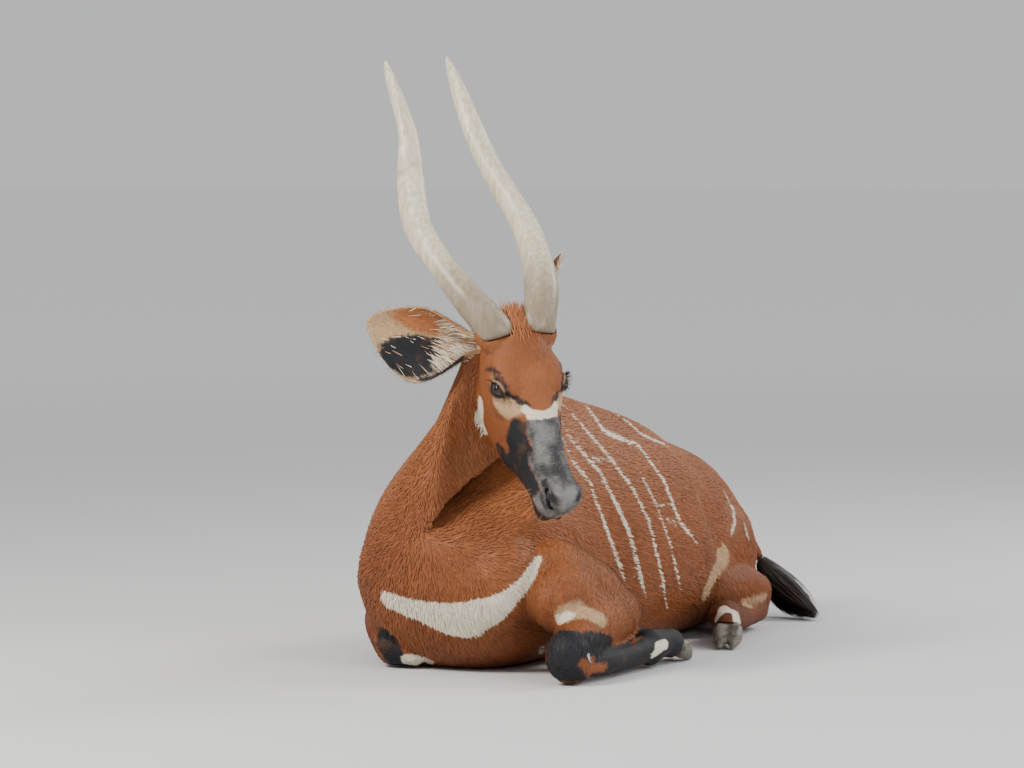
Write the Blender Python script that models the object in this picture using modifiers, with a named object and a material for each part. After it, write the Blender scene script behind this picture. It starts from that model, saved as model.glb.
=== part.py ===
"""Life-size still model of a bongo antelope lying down, in metres, with +Z up.

The animal faces -Y, its left side is +X, and it rests on its brisket and belly with its legs folded.
"""

import math
import random

import bpy
import bmesh
import numpy as np
from mathutils import Matrix, Vector

# Driving dimensions, in metres
GAP = 0.0004
BODY_VOXEL = 0.009
LEG_VOXEL = 0.005
HEAD_VOXEL = 0.0030
EYE_RADIUS = 0.021
EYE_PLACE = (0.0640, -0.121, -0.024)
EYE_LOOKS = (0.93, -0.20, 0.31)
LID_THICKNESS = 0.0034
EAR_LENGTH = 0.235
EAR_THICKNESS = 0.006
TUFT_LOCKS = 26
TUFT_SEED = 50

# Where the head sits: the point between the horns, and the head's own left, back and up directions
POLL = Vector((0.197, 0.004, 0.722))
HEAD_LEFT = Vector((0.568, 0.819, 0.084))
HEAD_BACK = Vector((-0.454, 0.226, 0.862))
HEAD_UP = Vector((0.687, -0.527, 0.5))

# Triangle budget of each node, reached by Decimate before the seats and openings are cut
BUDGET = {
    "torso": 1500,
    "neck": 500,
    "head": 1900,
    "upper": 400,
    "lower": 240,
    "hoof": 170,
    "ear": 400,
    "horn": 720,
    "tail": 130,
}

for old in list(bpy.data.objects):
    bpy.data.objects.remove(old, do_unlink=True)

model = bpy.data.collections.new("bongo_antelope")
cutters = bpy.data.collections.new("cutters")
bpy.context.scene.collection.children.link(model)
bpy.context.scene.collection.children.link(cutters)
cutters.hide_render = True

head_frame = Matrix.Identity(4)
for column, axis in enumerate((HEAD_LEFT, HEAD_BACK, HEAD_UP)):
    for row in range(3):
        head_frame[row][column] = axis.normalized()[row]
head_frame.translation = POLL


def material(name, colour, roughness):
    """A plain material with its own Principled shader."""
    made = bpy.data.materials.new(name)
    made.use_nodes = True
    shader = made.node_tree.nodes["Principled BSDF"]
    shader.inputs["Base Color"].default_value = (*colour, 1.0)
    shader.inputs["Roughness"].default_value = roughness
    made.diffuse_color = (*colour, 1.0)
    return made


COAT = material("chestnut_coat", (0.33, 0.09, 0.02), 0.7)
DARK_COAT = material("black_leg_coat", (0.03, 0.025, 0.03), 0.6)
HORN = material("ivory_horn", (0.72, 0.66, 0.52), 0.4)
HOOF = material("grey_hoof", (0.16, 0.14, 0.11), 0.5)
EYE = material("dark_eye", (0.015, 0.01, 0.008), 0.08)
TUFT = material("black_tail_hair", (0.012, 0.011, 0.014), 0.55)


def new_object(name, mesh, collection=None):
    made = bpy.data.objects.new(name, mesh)
    (collection or model).objects.link(made)
    return made


def mesh_object(name, points, faces, collection=None):
    mesh = bpy.data.meshes.new(name)
    mesh.from_pydata([tuple(p) for p in points], [], [tuple(f) for f in faces])
    made = new_object(name, mesh, collection)
    outward(made)
    return made


def outward(piece):
    """Turns the faces of a closed mesh outwards."""
    sheet = bmesh.new()
    sheet.from_mesh(piece.data)
    bmesh.ops.recalc_face_normals(sheet, faces=sheet.faces)
    if sheet.calc_volume(signed=True) < 0:
        bmesh.ops.reverse_faces(sheet, faces=sheet.faces)
    sheet.to_mesh(piece.data)
    sheet.free()


def bake(piece):
    """Applies the modifiers and the placement of a piece, so that its mesh is plain."""
    bpy.context.view_layer.update()
    graph = bpy.context.evaluated_depsgraph_get()
    mesh = bpy.data.meshes.new_from_object(piece.evaluated_get(graph), depsgraph=graph)
    mesh.transform(piece.matrix_world)
    name = piece.name
    home = piece.users_collection[0]
    bpy.data.objects.remove(piece, do_unlink=True)
    mesh.name = name
    made = bpy.data.objects.new(name, mesh)
    home.objects.link(made)
    return made


def ball(centre, radii, turn=(0.0, 0.0, 0.0), rings=20):
    """An ellipsoid from a sphere primitive."""
    sheet = bmesh.new()
    bmesh.ops.create_uvsphere(sheet, u_segments=rings * 2, v_segments=rings, radius=1.0)
    mesh = bpy.data.meshes.new("ball")
    sheet.to_mesh(mesh)
    sheet.free()
    angles = [math.radians(a) for a in turn]
    spin = Matrix.Rotation(angles[2], 4, "Z") @ Matrix.Rotation(angles[1], 4, "Y") @ Matrix.Rotation(angles[0], 4, "X")
    mesh.transform(Matrix.Translation(centre) @ spin @ Matrix.Diagonal((*radii, 1.0)))
    return new_object("ball", mesh, cutters)


def limb(points, radii, sides=6):
    """A round limb from a curve with a bevel, its ends closed by half balls."""
    curve = bpy.data.curves.new("limb", "CURVE")
    curve.dimensions = "3D"
    curve.bevel_depth = 1.0
    curve.bevel_resolution = sides
    curve.use_fill_caps = True
    curve.resolution_u = 8
    line = curve.splines.new("BEZIER")
    line.bezier_points.add(len(points) - 1)
    for place, point, radius in zip(line.bezier_points, points, radii):
        place.co = point
        place.radius = radius
        place.handle_left_type = "AUTO"
        place.handle_right_type = "AUTO"
    tube = bake(new_object("limb", curve, cutters))
    sheet = bmesh.new()
    sheet.from_mesh(tube.data)
    bmesh.ops.remove_doubles(sheet, verts=sheet.verts, dist=1e-6)
    sheet.to_mesh(tube.data)
    sheet.free()
    outward(tube)
    first = ball(points[0], (radii[0],) * 3, rings=12)
    last = ball(points[-1], (radii[-1],) * 3, rings=12)
    return [tube, first, last]


def smooth_through(stations, steps):
    """Catmull-Rom steps through rows of numbers, so that a few stations give a smooth body."""
    rows = np.array(stations, float)
    ends = np.vstack([2 * rows[0] - rows[1], rows, 2 * rows[-1] - rows[-2]])
    found = []
    for i in range(1, len(ends) - 2):
        for step in range(steps):
            t = step / steps
            a, b, c, d = ends[i - 1], ends[i], ends[i + 1], ends[i + 2]
            found.append(
                0.5 * (2 * b + (c - a) * t + (2 * a - 5 * b + 4 * c - d) * t * t + (3 * b - a - 3 * c + d) * t**3)
            )
    found.append(rows[-1])
    return np.array(found)


def loft(name, rings):
    """A closed body through rings of the same number of points."""
    count = len(rings[0])
    points = [tuple(p) for ring in rings for p in ring]
    faces = []
    for i in range(len(rings) - 1):
        for j in range(count):
            k = (j + 1) % count
            faces.append((i * count + j, i * count + k, (i + 1) * count + k, (i + 1) * count + j))
    for end in (0, len(rings) - 1):
        middle = np.mean(rings[end], axis=0)
        points.append(tuple(middle))
        for j in range(count):
            faces.append((end * count + j, end * count + (j + 1) % count, len(points) - 1))
    return mesh_object(name, points, faces, cutters)


def power(value, exponent):
    return math.copysign(abs(value) ** exponent, value)


def egg_ring(centre_x, y, half_width, top, bottom, widest, high=2.0, low=2.0, count=36):
    """A cross-section across Y: its widest height, and how square it is above and below that."""
    ring = []
    for i in range(count):
        angle = 2 * math.pi * i / count
        squareness = high if math.sin(angle) > 0 else low
        reach = (top - widest) if math.sin(angle) > 0 else (widest - bottom)
        x = centre_x + half_width * power(math.cos(angle), 2 / squareness)
        z = widest + reach * power(math.sin(angle), 2 / squareness)
        ring.append((x, y, z))
    return ring


def joined(name, pieces):
    """All pieces as one mesh, still crossing each other."""
    flat = []
    for piece in pieces:
        flat.extend(piece if isinstance(piece, list) else [piece])
    sheet = bmesh.new()
    for piece in flat:
        sheet.from_mesh(piece.data)
    mesh = bpy.data.meshes.new(name)
    sheet.to_mesh(mesh)
    sheet.free()
    for piece in flat:
        bpy.data.objects.remove(piece, do_unlink=True)
    return new_object(name, mesh, cutters)


def fused(name, pieces, voxel, rounds, strength=0.5):
    """One skin round all the pieces, then smoothed as flesh would run."""
    whole = joined(name, pieces)
    remesh = whole.modifiers.new("one_skin", "REMESH")
    remesh.mode = "VOXEL"
    remesh.voxel_size = voxel
    remesh.adaptivity = 0.0
    if rounds:
        smooth = whole.modifiers.new("flow", "SMOOTH")
        smooth.factor = strength
        smooth.iterations = rounds
    return largest(bake(whole))


def largest(piece):
    """Keeps only the largest closed surface of a piece. Surfaces that share no more than a point are parted."""
    sheet = bmesh.new()
    sheet.from_mesh(piece.data)
    sheet.faces.ensure_lookup_table()
    seen = set()
    groups = []
    for start in sheet.faces:
        if start.index in seen:
            continue
        group = []
        waiting = [start]
        seen.add(start.index)
        while waiting:
            face = waiting.pop()
            group.append(face)
            for edge in face.edges:
                if len(edge.link_faces) != 2:
                    continue
                for other in edge.link_faces:
                    if other.index not in seen:
                        seen.add(other.index)
                        waiting.append(other)
        groups.append(group)
    groups.sort(key=box_size, reverse=True)
    extra = [face for group in groups[1:] for face in group]
    if extra:
        bmesh.ops.delete(sheet, geom=extra, context="FACES")
    sheet.to_mesh(piece.data)
    sheet.free()
    piece.data.update()
    return piece


def box_size(group):
    """How far a group of faces reaches."""
    places = np.array([vertex.co[:] for face in group for vertex in face.verts])
    return float(np.linalg.norm(places.max(axis=0) - places.min(axis=0)))


def boolean(piece, other, operation="DIFFERENCE", solver="EXACT"):
    """Cuts or joins with another mesh, applied at once."""
    step = piece.modifiers.new("shape", "BOOLEAN")
    step.operation = operation
    step.object = other
    step.solver = solver
    before = len(piece.data.polygons)
    made = bake(piece)
    if before and not made.data.polygons:
        raise RuntimeError("a Boolean left nothing of " + made.name)
    return made


def grown(piece, amount):
    """A copy of a piece, a little larger all round, to cut its own seat with."""
    copy = new_object(piece.name + "_grown", piece.data.copy(), cutters)
    swell = copy.modifiers.new("swell", "DISPLACE")
    swell.strength = amount
    swell.mid_level = 0.0
    return bake(copy)


def seat(piece, neighbour, gap=GAP):
    """Cuts the neighbour's seat in a piece, leaving a thin gap between the two.

    These dense, nearly parallel surfaces are where the exact solver leaves open edges.
    """
    tool = grown(neighbour, gap)
    made = largest(boolean(piece, tool, solver="MANIFOLD"))
    bpy.data.objects.remove(tool, do_unlink=True)
    return made


def thinned(piece, triangles):
    """Fewer triangles, with the form kept."""
    sheet = bmesh.new()
    sheet.from_mesh(piece.data)
    bmesh.ops.triangulate(sheet, faces=sheet.faces)
    count = len(sheet.faces)
    sheet.to_mesh(piece.data)
    sheet.free()
    if count <= triangles:
        return piece
    fewer = piece.modifiers.new("fewer", "DECIMATE")
    fewer.ratio = triangles / count
    return bake(piece)


def half_space(point, normal, reach=3.0):
    """A large box on one side of a plane, as a cutter."""
    sheet = bmesh.new()
    bmesh.ops.create_cube(sheet, size=1.0)
    mesh = bpy.data.meshes.new("half_space")
    sheet.to_mesh(mesh)
    sheet.free()
    direction = Vector(normal).normalized()
    turn = direction.to_track_quat("Z", "Y").to_matrix().to_4x4()
    centre = Vector(point) + direction * (reach / 2)
    mesh.transform(Matrix.Translation(centre) @ turn @ Matrix.Diagonal((reach, reach, reach, 1.0)))
    return new_object("half_space", mesh, cutters)


def part_at(piece, point, normal, keep_side):
    """Keeps one side of a plane: +1 the side that the normal points to, -1 the other."""
    direction = Vector(normal).normalized()
    place = Vector(point) + direction * (GAP / 2) * keep_side
    tool = half_space(place, -direction * keep_side)
    made = largest(boolean(piece, tool))
    bpy.data.objects.remove(tool, do_unlink=True)
    return made


def sculpt(piece, strokes):
    """Pushes the surface: each stroke has a centre, three reaches and a push, fading smoothly outwards."""
    count = len(piece.data.vertices)
    points = np.empty(count * 3)
    piece.data.vertices.foreach_get("co", points)
    points = points.reshape(-1, 3)
    for centre, reach, push in strokes:
        apart = (points - np.array(centre)) / np.array(reach)
        fade = np.clip(1.0 - (apart**2).sum(axis=1), 0.0, 1.0) ** 2
        points = points + fade[:, None] * np.array(push)
    piece.data.vertices.foreach_set("co", points.reshape(-1))
    piece.data.update()
    return piece


def both_sides(strokes):
    """Each stroke again on the other side of the head."""
    mirrored = [((-c[0], c[1], c[2]), r, (-p[0], p[1], p[2])) for c, r, p in strokes]
    return strokes + mirrored


def finished(piece, name, look, collection=None):
    """Names a node, gives it its material and smooth shading, and puts it among the model's parts."""
    piece.name = name
    piece.data.name = name
    for home in list(piece.users_collection):
        home.objects.unlink(piece)
    (collection or model).objects.link(piece)
    piece.data.materials.clear()
    piece.data.materials.append(look)
    piece.data.shade_smooth()
    return piece


# Trunk and neck

# Each row: Y, centre X, half width, top, bottom, widest height, squareness above
TRUNK_ROWS = [
    (-0.052, -0.010, 0.045, 0.270, 0.170, 0.215, 2.0),
    (-0.030, -0.012, 0.110, 0.340, 0.105, 0.210, 2.0),
    (0.005, -0.015, 0.158, 0.400, 0.050, 0.205, 2.0),
    (0.060, -0.018, 0.198, 0.450, 0.010, 0.200, 1.9),
    (0.130, -0.020, 0.222, 0.500, -0.010, 0.200, 1.8),
    (0.220, -0.022, 0.234, 0.545, -0.012, 0.200, 1.8),
    (0.340, -0.020, 0.236, 0.572, -0.010, 0.205, 1.8),
    (0.470, -0.012, 0.244, 0.566, -0.010, 0.200, 1.85),
    (0.600, -0.004, 0.250, 0.540, -0.010, 0.195, 1.85),
    (0.770, 0.006, 0.244, 0.500, -0.010, 0.190, 1.8),
    (0.920, 0.010, 0.206, 0.448, -0.008, 0.180, 1.65),
    (1.080, 0.012, 0.170, 0.408, -0.006, 0.170, 1.5),
    (1.180, 0.010, 0.145, 0.374, 0.000, 0.165, 1.5),
    (1.245, 0.008, 0.105, 0.325, 0.030, 0.165, 1.6),
    (1.285, 0.006, 0.050, 0.260, 0.090, 0.165, 2.0),
]


def trunk_pieces():
    rings = []
    for y, middle, width, top, bottom, widest, high in smooth_through(TRUNK_ROWS, 4):
        rings.append(egg_ring(middle, y, width, top, bottom, widest, high=high, low=2.6, count=48))
    pieces = [loft("trunk", rings)]
    # Withers, shoulder blades, points of the shoulders and the breast
    pieces.append(ball((0.0, 0.30, 0.465), (0.075, 0.20, 0.110)))
    pieces.append(ball((0.130, 0.20, 0.25), (0.100, 0.140, 0.165), (-18, 0, 0)))
    pieces.append(ball((-0.150, 0.22, 0.24), (0.088, 0.140, 0.155), (-18, 0, 0)))
    pieces.append(ball((0.120, 0.060, 0.195), (0.095, 0.095, 0.115)))
    pieces.append(ball((-0.125, 0.070, 0.195), (0.092, 0.098, 0.118)))
    # Croup and haunches, the left one standing out
    pieces.append(ball((0.048, 1.065, 0.175), (0.142, 0.180, 0.150), (6, 0, -4)))
    pieces.append(ball((-0.075, 1.065, 0.170), (0.132, 0.172, 0.150), (6, 0, 4)))
    pieces.append(ball((0.010, 1.130, 0.270), (0.080, 0.110, 0.090)))
    return pieces


# Each row: centre X, Y, Z, radius across, radius front to back
NECK_ROWS = [
    (-0.002, 0.130, 0.270, 0.190, 0.170),
    (0.030, 0.115, 0.350, 0.170, 0.165),
    (0.065, 0.100, 0.420, 0.150, 0.160),
    (0.095, 0.088, 0.490, 0.126, 0.152),
    (0.118, 0.078, 0.560, 0.106, 0.142),
    (0.134, 0.068, 0.620, 0.094, 0.128),
    (0.146, 0.056, 0.670, 0.088, 0.112),
    (0.156, 0.042, 0.705, 0.078, 0.092),
]
NECK_TURN = [0.0, 4.0, 10.0, 18.0, 26.0, 34.0, 40.0, 42.0]


def neck_piece():
    """The neck as rings across its own run, turning with the head as they rise."""
    rows = [row + (turn,) for row, turn in zip(NECK_ROWS, NECK_TURN)]
    path = smooth_through(rows, 4)
    rings = []
    for i, (x, y, z, across, deep, turn) in enumerate(path):
        ahead = path[min(i + 1, len(path) - 1)][:3]
        behind = path[max(i - 1, 0)][:3]
        run = Vector(ahead) - Vector(behind)
        run.normalize()
        angle = math.radians(turn)
        side = Vector((math.cos(angle), math.sin(angle), 0.0))
        front = side.cross(run)
        front.normalize()
        side = run.cross(front)
        ring = []
        for j in range(36):
            around = 2 * math.pi * j / 36
            offset = side * (across * power(math.cos(around), 0.95)) + front * (deep * power(math.sin(around), 0.95))
            ring.append(Vector((x, y, z)) + offset)
        rings.append(ring)
    return loft("neck_form", rings)


# Head, in its own frame: nose towards -Y, crown towards +Z, left towards +X

# Each row: Y, half width, top, bottom, widest height, squareness above, squareness below
HEAD_ROWS = [
    (0.064, 0.030, -0.055, -0.115, -0.085, 2.0, 2.0),
    (0.046, 0.052, -0.024, -0.140, -0.075, 2.0, 2.0),
    (0.015, 0.066, 0.002, -0.160, -0.060, 2.3, 1.9),
    (-0.030, 0.073, 0.014, -0.172, -0.048, 2.4, 1.8),
    (-0.075, 0.078, 0.019, -0.177, -0.042, 2.4, 1.7),
    (-0.115, 0.076, 0.017, -0.172, -0.040, 2.4, 1.7),
    (-0.155, 0.066, 0.010, -0.160, -0.044, 2.3, 1.75),
    (-0.200, 0.054, 0.002, -0.145, -0.050, 2.2, 1.85),
    (-0.245, 0.0445, -0.003, -0.133, -0.056, 2.15, 1.95),
    (-0.290, 0.0405, -0.006, -0.125, -0.060, 2.15, 2.1),
    (-0.330, 0.0415, -0.007, -0.121, -0.062, 2.2, 2.2),
    (-0.358, 0.0410, -0.010, -0.117, -0.062, 2.3, 2.3),
    (-0.380, 0.0350, -0.019, -0.106, -0.062, 2.3, 2.3),
    (-0.394, 0.0200, -0.036, -0.086, -0.062, 2.0, 2.0),
]

# The line of the mouth, from the middle of the upper lip back to its corner: X, Y, Z
MOUTH_LINE = [
    (0.0, -0.396, -0.086),
    (0.014, -0.392, -0.088),
    (0.028, -0.376, -0.092),
    (0.037, -0.350, -0.096),
    (0.040, -0.318, -0.100),
    (0.040, -0.288, -0.106),
    (0.039, -0.268, -0.113),
]


def head_pieces():
    rings = []
    for y, width, top, bottom, widest, high, low in smooth_through(HEAD_ROWS, 4):
        rings.append(egg_ring(0.0, y, width, top, bottom, widest, high, low, count=48))
    pieces = [loft("head_form", rings)]
    for side in (1, -1):
        # Brow and cheekbone round the eye, then the jaw muscle
        pieces.append(ball((side * 0.046, -0.100, -0.011), (0.036, 0.058, 0.025), (0, side * 20, 0)))
        pieces.append(ball((side * 0.048, -0.128, -0.050), (0.030, 0.054, 0.024), (0, side * -8, 0)))
        pieces.append(ball((side * 0.044, -0.062, -0.105), (0.029, 0.062, 0.060)))
        # Nostril wing, the pad of the upper lip, and the lower lip
        pieces.append(ball((side * 0.022, -0.366, -0.034), (0.0225, 0.030, 0.0235), (0, 0, side * -14)))
        pieces.append(ball((side * 0.022, -0.345, -0.072), (0.0215, 0.044, 0.021)))
        pieces.append(ball((side * 0.014, -0.358, -0.108), (0.019, 0.032, 0.013)))
        # Root that the horn stands on
        pieces.append(ball((side * 0.048, -0.006, -0.010), (0.043, 0.046, 0.026)))
        # The lids lie on the eyeball
        eye = Vector((side * EYE_PLACE[0], EYE_PLACE[1], EYE_PLACE[2]))
        pieces.append(ball(eye, (EYE_RADIUS + LID_THICKNESS,) * 3))
    pieces.append(ball((0.0, -0.374, -0.050), (0.026, 0.024, 0.032)))
    pieces.append(ball((0.0, -0.045, 0.008), (0.046, 0.060, 0.017)))
    pieces.append(ball((0.0, 0.018, -0.004), (0.034, 0.034, 0.020)))
    return pieces


def nearest_on(piece, point, sink):
    """The nearest point on the surface of a piece, sunk below it by a small depth."""
    found, place, normal, _ = piece.closest_point_on_mesh(Vector(point))
    return tuple(place - normal * sink) if found else tuple(point)


def build_head():
    head = fused("head", head_pieces(), HEAD_VOXEL, 12)
    strokes = both_sides([
        # The temple behind the eye, the hollow before it, the flank of the nose and the hollow of the cheek
        ((0.082, -0.078, -0.022), (0.020, 0.020, 0.022), (-0.003, 0.0, 0.0)),
        ((0.074, -0.160, -0.026), (0.020, 0.026, 0.018), (-0.005, 0.0, -0.001)),
        ((0.050, -0.235, -0.082), (0.026, 0.060, 0.030), (-0.005, 0.0, 0.0)),
        ((0.030, -0.285, -0.010), (0.018, 0.050, 0.014), (-0.001, 0.0, -0.002)),
        ((0.042, -0.285, -0.060), (0.020, 0.040, 0.030), (-0.003, 0.0, 0.0)),
        ((0.024, -0.250, -0.135), (0.030, 0.070, 0.026), (0.0, 0.0, 0.004)),
        # Fold above the upper lid
        ((0.078, -0.114, -0.001), (0.014, 0.030, 0.006), (-0.0015, 0.0, -0.0015)),
    ])
    head = sculpt(head, strokes)
    head = thinned(head, BUDGET["head"])
    cut_pieces = []
    whole_mouth = [(-x, y, z) for x, y, z in MOUTH_LINE[:0:-1]] + MOUTH_LINE
    line = [nearest_on(head, point, -0.0004) for point in whole_mouth]
    cut_pieces.append(fused("mouth_cut", limb(line, [0.0018] + [0.0030] * (len(line) - 2) + [0.0018], 1), 0.0020, 1))
    for side in (1, -1):
        # A comma that opens forwards and curls up and outwards
        comma = [(0.0150, -0.388, -0.047), (0.0225, -0.382, -0.039), (0.0290, -0.370, -0.030), (0.0300, -0.355, -0.024)]
        run = [nearest_on(head, (side * x, y, z), 0.0006) for x, y, z in comma]
        cut_pieces.append(fused("nostril_cut", limb(run, [0.0052, 0.0068, 0.0048, 0.0034], 2), 0.0022, 2))
        cut_pieces.append(lid_opening(side))
    for tool in cut_pieces:
        tool = thinned(tool, 260)
        head = largest(boolean(head, tool, solver="MANIFOLD"))
        bpy.data.objects.remove(tool, do_unlink=True)
    head.data.transform(head_frame)
    return head


def eye_axes(side):
    """Where the eye is in the head's frame, and its outward, forward and upward directions."""
    centre = Vector((side * EYE_PLACE[0], EYE_PLACE[1], EYE_PLACE[2]))
    out = Vector((side * EYE_LOOKS[0], EYE_LOOKS[1], EYE_LOOKS[2])).normalized()
    along = Vector((0.0, -0.955, -0.295))
    along = (along - out * along.dot(out)).normalized()
    rise = out.cross(along)
    if rise.z < 0:
        rise = -rise
    return centre, out, along, rise


def lid_opening(side):
    """An almond that opens the lids in front of the eyeball, low and half closed."""
    centre, out, along, rise = eye_axes(side)
    rings = []
    for depth in (0.010, 0.034):
        ring = []
        for i in range(20):
            around = 2 * math.pi * i / 20
            reach = math.cos(around)
            tall = math.sin(around)
            height = (0.0064 if tall > 0 else 0.0072) * tall * (1.0 - 0.35 * reach * reach)
            flare = 1.0 + 3.0 * max(depth - 0.020, 0.0)
            place = centre + out * depth + along * (0.0178 * reach * flare) + rise * (height * flare - 0.0018)
            ring.append(place)
        rings.append(ring)
    return loft("lid_opening", rings)


def build_eye(side):
    """One eyeball with the clear bulge in front."""
    centre, out, along, rise = eye_axes(side)
    white = ball(centre, (EYE_RADIUS,) * 3, rings=7)
    front = ball(centre + out * 0.0052, (0.0162,) * 3, rings=7)
    eye = largest(boolean(white, front, "UNION"))
    bpy.data.objects.remove(front, do_unlink=True)
    eye.data.transform(head_frame)
    return eye


# Horns, in the head's frame

# Each row: X, Y, Z, radius
HORN_ROWS = [
    (0.049, -0.018, -0.006, 0.0350),
    (0.055, 0.008, 0.002, 0.0345),
    (0.0855, 0.080, 0.000, 0.0335),
    (0.108, 0.175, -0.026, 0.0310),
    (0.117, 0.277, -0.056, 0.0308),
    (0.0985, 0.380, -0.066, 0.0275),
    (0.081, 0.455, -0.063, 0.0235),
    (0.0725, 0.525, -0.058, 0.0200),
    (0.0728, 0.600, -0.061, 0.0165),
    (0.0722, 0.650, -0.063, 0.0115),
    (0.0717, 0.686, -0.064, 0.0030),
]
KEEL_START = 2.6
KEEL_TWIST = 5.6


def build_horn(side):
    """One horn: a lyre curve, its section a little flattened, with a keel that winds once round it."""
    path = smooth_through(HORN_ROWS, 5)
    run = np.cumsum(np.r_[0.0, np.linalg.norm(np.diff(path[:, :3], axis=0), axis=1)])
    rings = []
    for i, (x, y, z, radius) in enumerate(path):
        ahead = Vector(path[min(i + 1, len(path) - 1)][:3])
        behind = Vector(path[max(i - 1, 0)][:3])
        forward = (ahead - behind).normalized()
        up = Vector((0.0, 0.0, 1.0))
        right = forward.cross(up).normalized()
        up = right.cross(forward)
        keel = KEEL_START + KEEL_TWIST * run[i] / run[-1]
        ring = []
        for j in range(20):
            around = 2 * math.pi * j / 20
            apart = math.atan2(math.sin(around - keel), math.cos(around - keel))
            ridge = 0.20 * math.exp(-((apart / 0.42) ** 2))
            second = math.atan2(math.sin(around - keel - 2.4), math.cos(around - keel - 2.4))
            ridge += 0.08 * math.exp(-((second / 0.5) ** 2))
            flat = 0.05 * math.cos(2 * (around - keel))
            reach = radius * (0.95 + ridge + flat)
            offset = right * (reach * math.cos(around)) + up * (reach * math.sin(around))
            place = Vector((x, y, z)) + offset
            ring.append((side * place.x, place.y, place.z))
        rings.append(ring)
    horn = loft("horn", rings)
    horn.data.transform(head_frame)
    return horn


# Ears: base point, direction of the ear and the way its cup faces, all in the world
EARS = {
    "left": ((0.195, 0.090, 0.705), (-0.054, 0.771, 0.634), (0.879, 0.38, -0.295), 0.020),
    "right": ((0.126, -0.023, 0.690), (-0.853, -0.492, 0.175), (0.50, -0.866, -0.02), -0.026),
}


def build_ear(side):
    """A cupped leaf with thickness: nearly a tube at its root, opening to a rounded tip."""
    base, direction, cup = [Vector(v) for v in EARS[side][:3]]
    bow = EARS[side][3]
    direction.normalize()
    cup = (cup - direction * cup.dot(direction)).normalized()
    across = direction.cross(cup)
    # Each row: distance along, half width, depth of the cup, how far round it wraps in degrees
    rows = smooth_through([
        (-0.004, 0.020, 0.020, 158),
        (0.018, 0.024, 0.025, 156),
        (0.045, 0.040, 0.034, 128),
        (0.080, 0.062, 0.038, 104),
        (0.120, 0.077, 0.036, 92),
        (0.160, 0.069, 0.028, 84),
        (0.195, 0.050, 0.019, 78),
        (0.222, 0.026, 0.010, 74),
        (0.236, 0.008, 0.003, 70),
    ], 2)
    points = []
    faces = []
    columns = 12
    for along, width, depth, wrap in rows:
        limit = math.radians(wrap)
        for j in range(columns + 1):
            angle = -limit + 2 * limit * j / columns
            sideways = width * math.sin(angle) / max(math.sin(min(limit, math.pi / 2)), 0.2)
            inward = depth * (1.0 - math.cos(angle))
            bend = -0.10 * along * along / EAR_LENGTH
            lean = bow * math.sin(math.pi * max(along, 0.0) / EAR_LENGTH)
            place = base + direction * along + across * (sideways + lean) + cup * (inward - depth + bend)
            points.append(place)
    for i in range(len(rows) - 1):
        for j in range(columns):
            a = i * (columns + 1) + j
            faces.append((a, a + 1, a + columns + 2, a + columns + 1))
    mesh = bpy.data.meshes.new("ear")
    mesh.from_pydata([tuple(p) for p in points], [], faces)
    leaf = new_object("ear", mesh, cutters)
    solid = leaf.modifiers.new("thickness", "SOLIDIFY")
    solid.thickness = EAR_THICKNESS
    solid.offset = 0.0
    solid.use_even_offset = False
    shell = bake(leaf)
    outward(shell)
    root = limb([tuple(base - direction * 0.010), tuple(base + direction * 0.008 - cup * 0.008)], [0.018, 0.016])
    ear = fused("ear", [shell, root], 0.0026, 4)
    return ear


# Legs: each list is the run of a leg with its radii


def build_left_fore():
    upper = [
        limb([(0.215, 0.130, 0.200), (0.255, 0.215, 0.150), (0.270, 0.270, 0.115)], [0.085, 0.080, 0.062]),
        limb([(0.282, 0.262, 0.118), (0.300, 0.170, 0.112), (0.318, 0.070, 0.096), (0.330, 0.010, 0.078)], [0.062, 0.064, 0.054, 0.050]),
        ball((0.333, -0.022, 0.060), (0.050, 0.050, 0.060)),
        ball((0.335, -0.010, 0.045), (0.046, 0.052, 0.048)),
        ball((0.245, 0.130, 0.165), (0.080, 0.130, 0.085), (0, 0, 12)),
    ]
    upper = fused("fore_left_upper", upper, LEG_VOXEL, 8)
    lower = [
        limb([(0.345, 0.000, 0.040), (0.352, 0.100, 0.036), (0.350, 0.200, 0.036), (0.347, 0.285, 0.042)], [0.032, 0.028, 0.027, 0.031]),
        ball((0.347, 0.305, 0.044), (0.034, 0.042, 0.042)),
        limb([(0.347, 0.310, 0.046), (0.344, 0.365, 0.048), (0.342, 0.405, 0.042)], [0.036, 0.031, 0.034]),
        ball((0.322, 0.305, 0.078), (0.013, 0.016, 0.011)),
    ]
    lower = fused("fore_left_lower", lower, LEG_VOXEL, 4)
    return upper, lower


def build_right_fore():
    upper = [
        limb([(-0.185, 0.160, 0.180), (-0.245, 0.250, 0.130), (-0.256, 0.300, 0.105)], [0.074, 0.068, 0.058]),
        limb([(-0.256, 0.300, 0.105), (-0.232, 0.210, 0.092), (-0.185, 0.120, 0.078), (-0.145, 0.070, 0.060)], [0.058, 0.056, 0.050, 0.046]),
        ball((-0.122, 0.050, 0.052), (0.052, 0.046, 0.052)),
        ball((-0.085, 0.052, 0.034), (0.040, 0.040, 0.034)),
    ]
    upper = fused("fore_right_upper", upper, LEG_VOXEL, 8)
    lower = [
        limb([(-0.165, 0.100, 0.034), (-0.215, 0.210, 0.033), (-0.262, 0.310, 0.036)], [0.032, 0.028, 0.030]),
        ball((-0.268, 0.330, 0.040), (0.034, 0.040, 0.038)),
        limb([(-0.268, 0.335, 0.042), (-0.275, 0.390, 0.044), (-0.278, 0.430, 0.038)], [0.035, 0.030, 0.033]),
        ball((-0.246, 0.345, 0.070), (0.012, 0.015, 0.010)),
    ]
    lower = fused("fore_right_lower", lower, LEG_VOXEL, 4)
    return upper, lower


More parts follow.
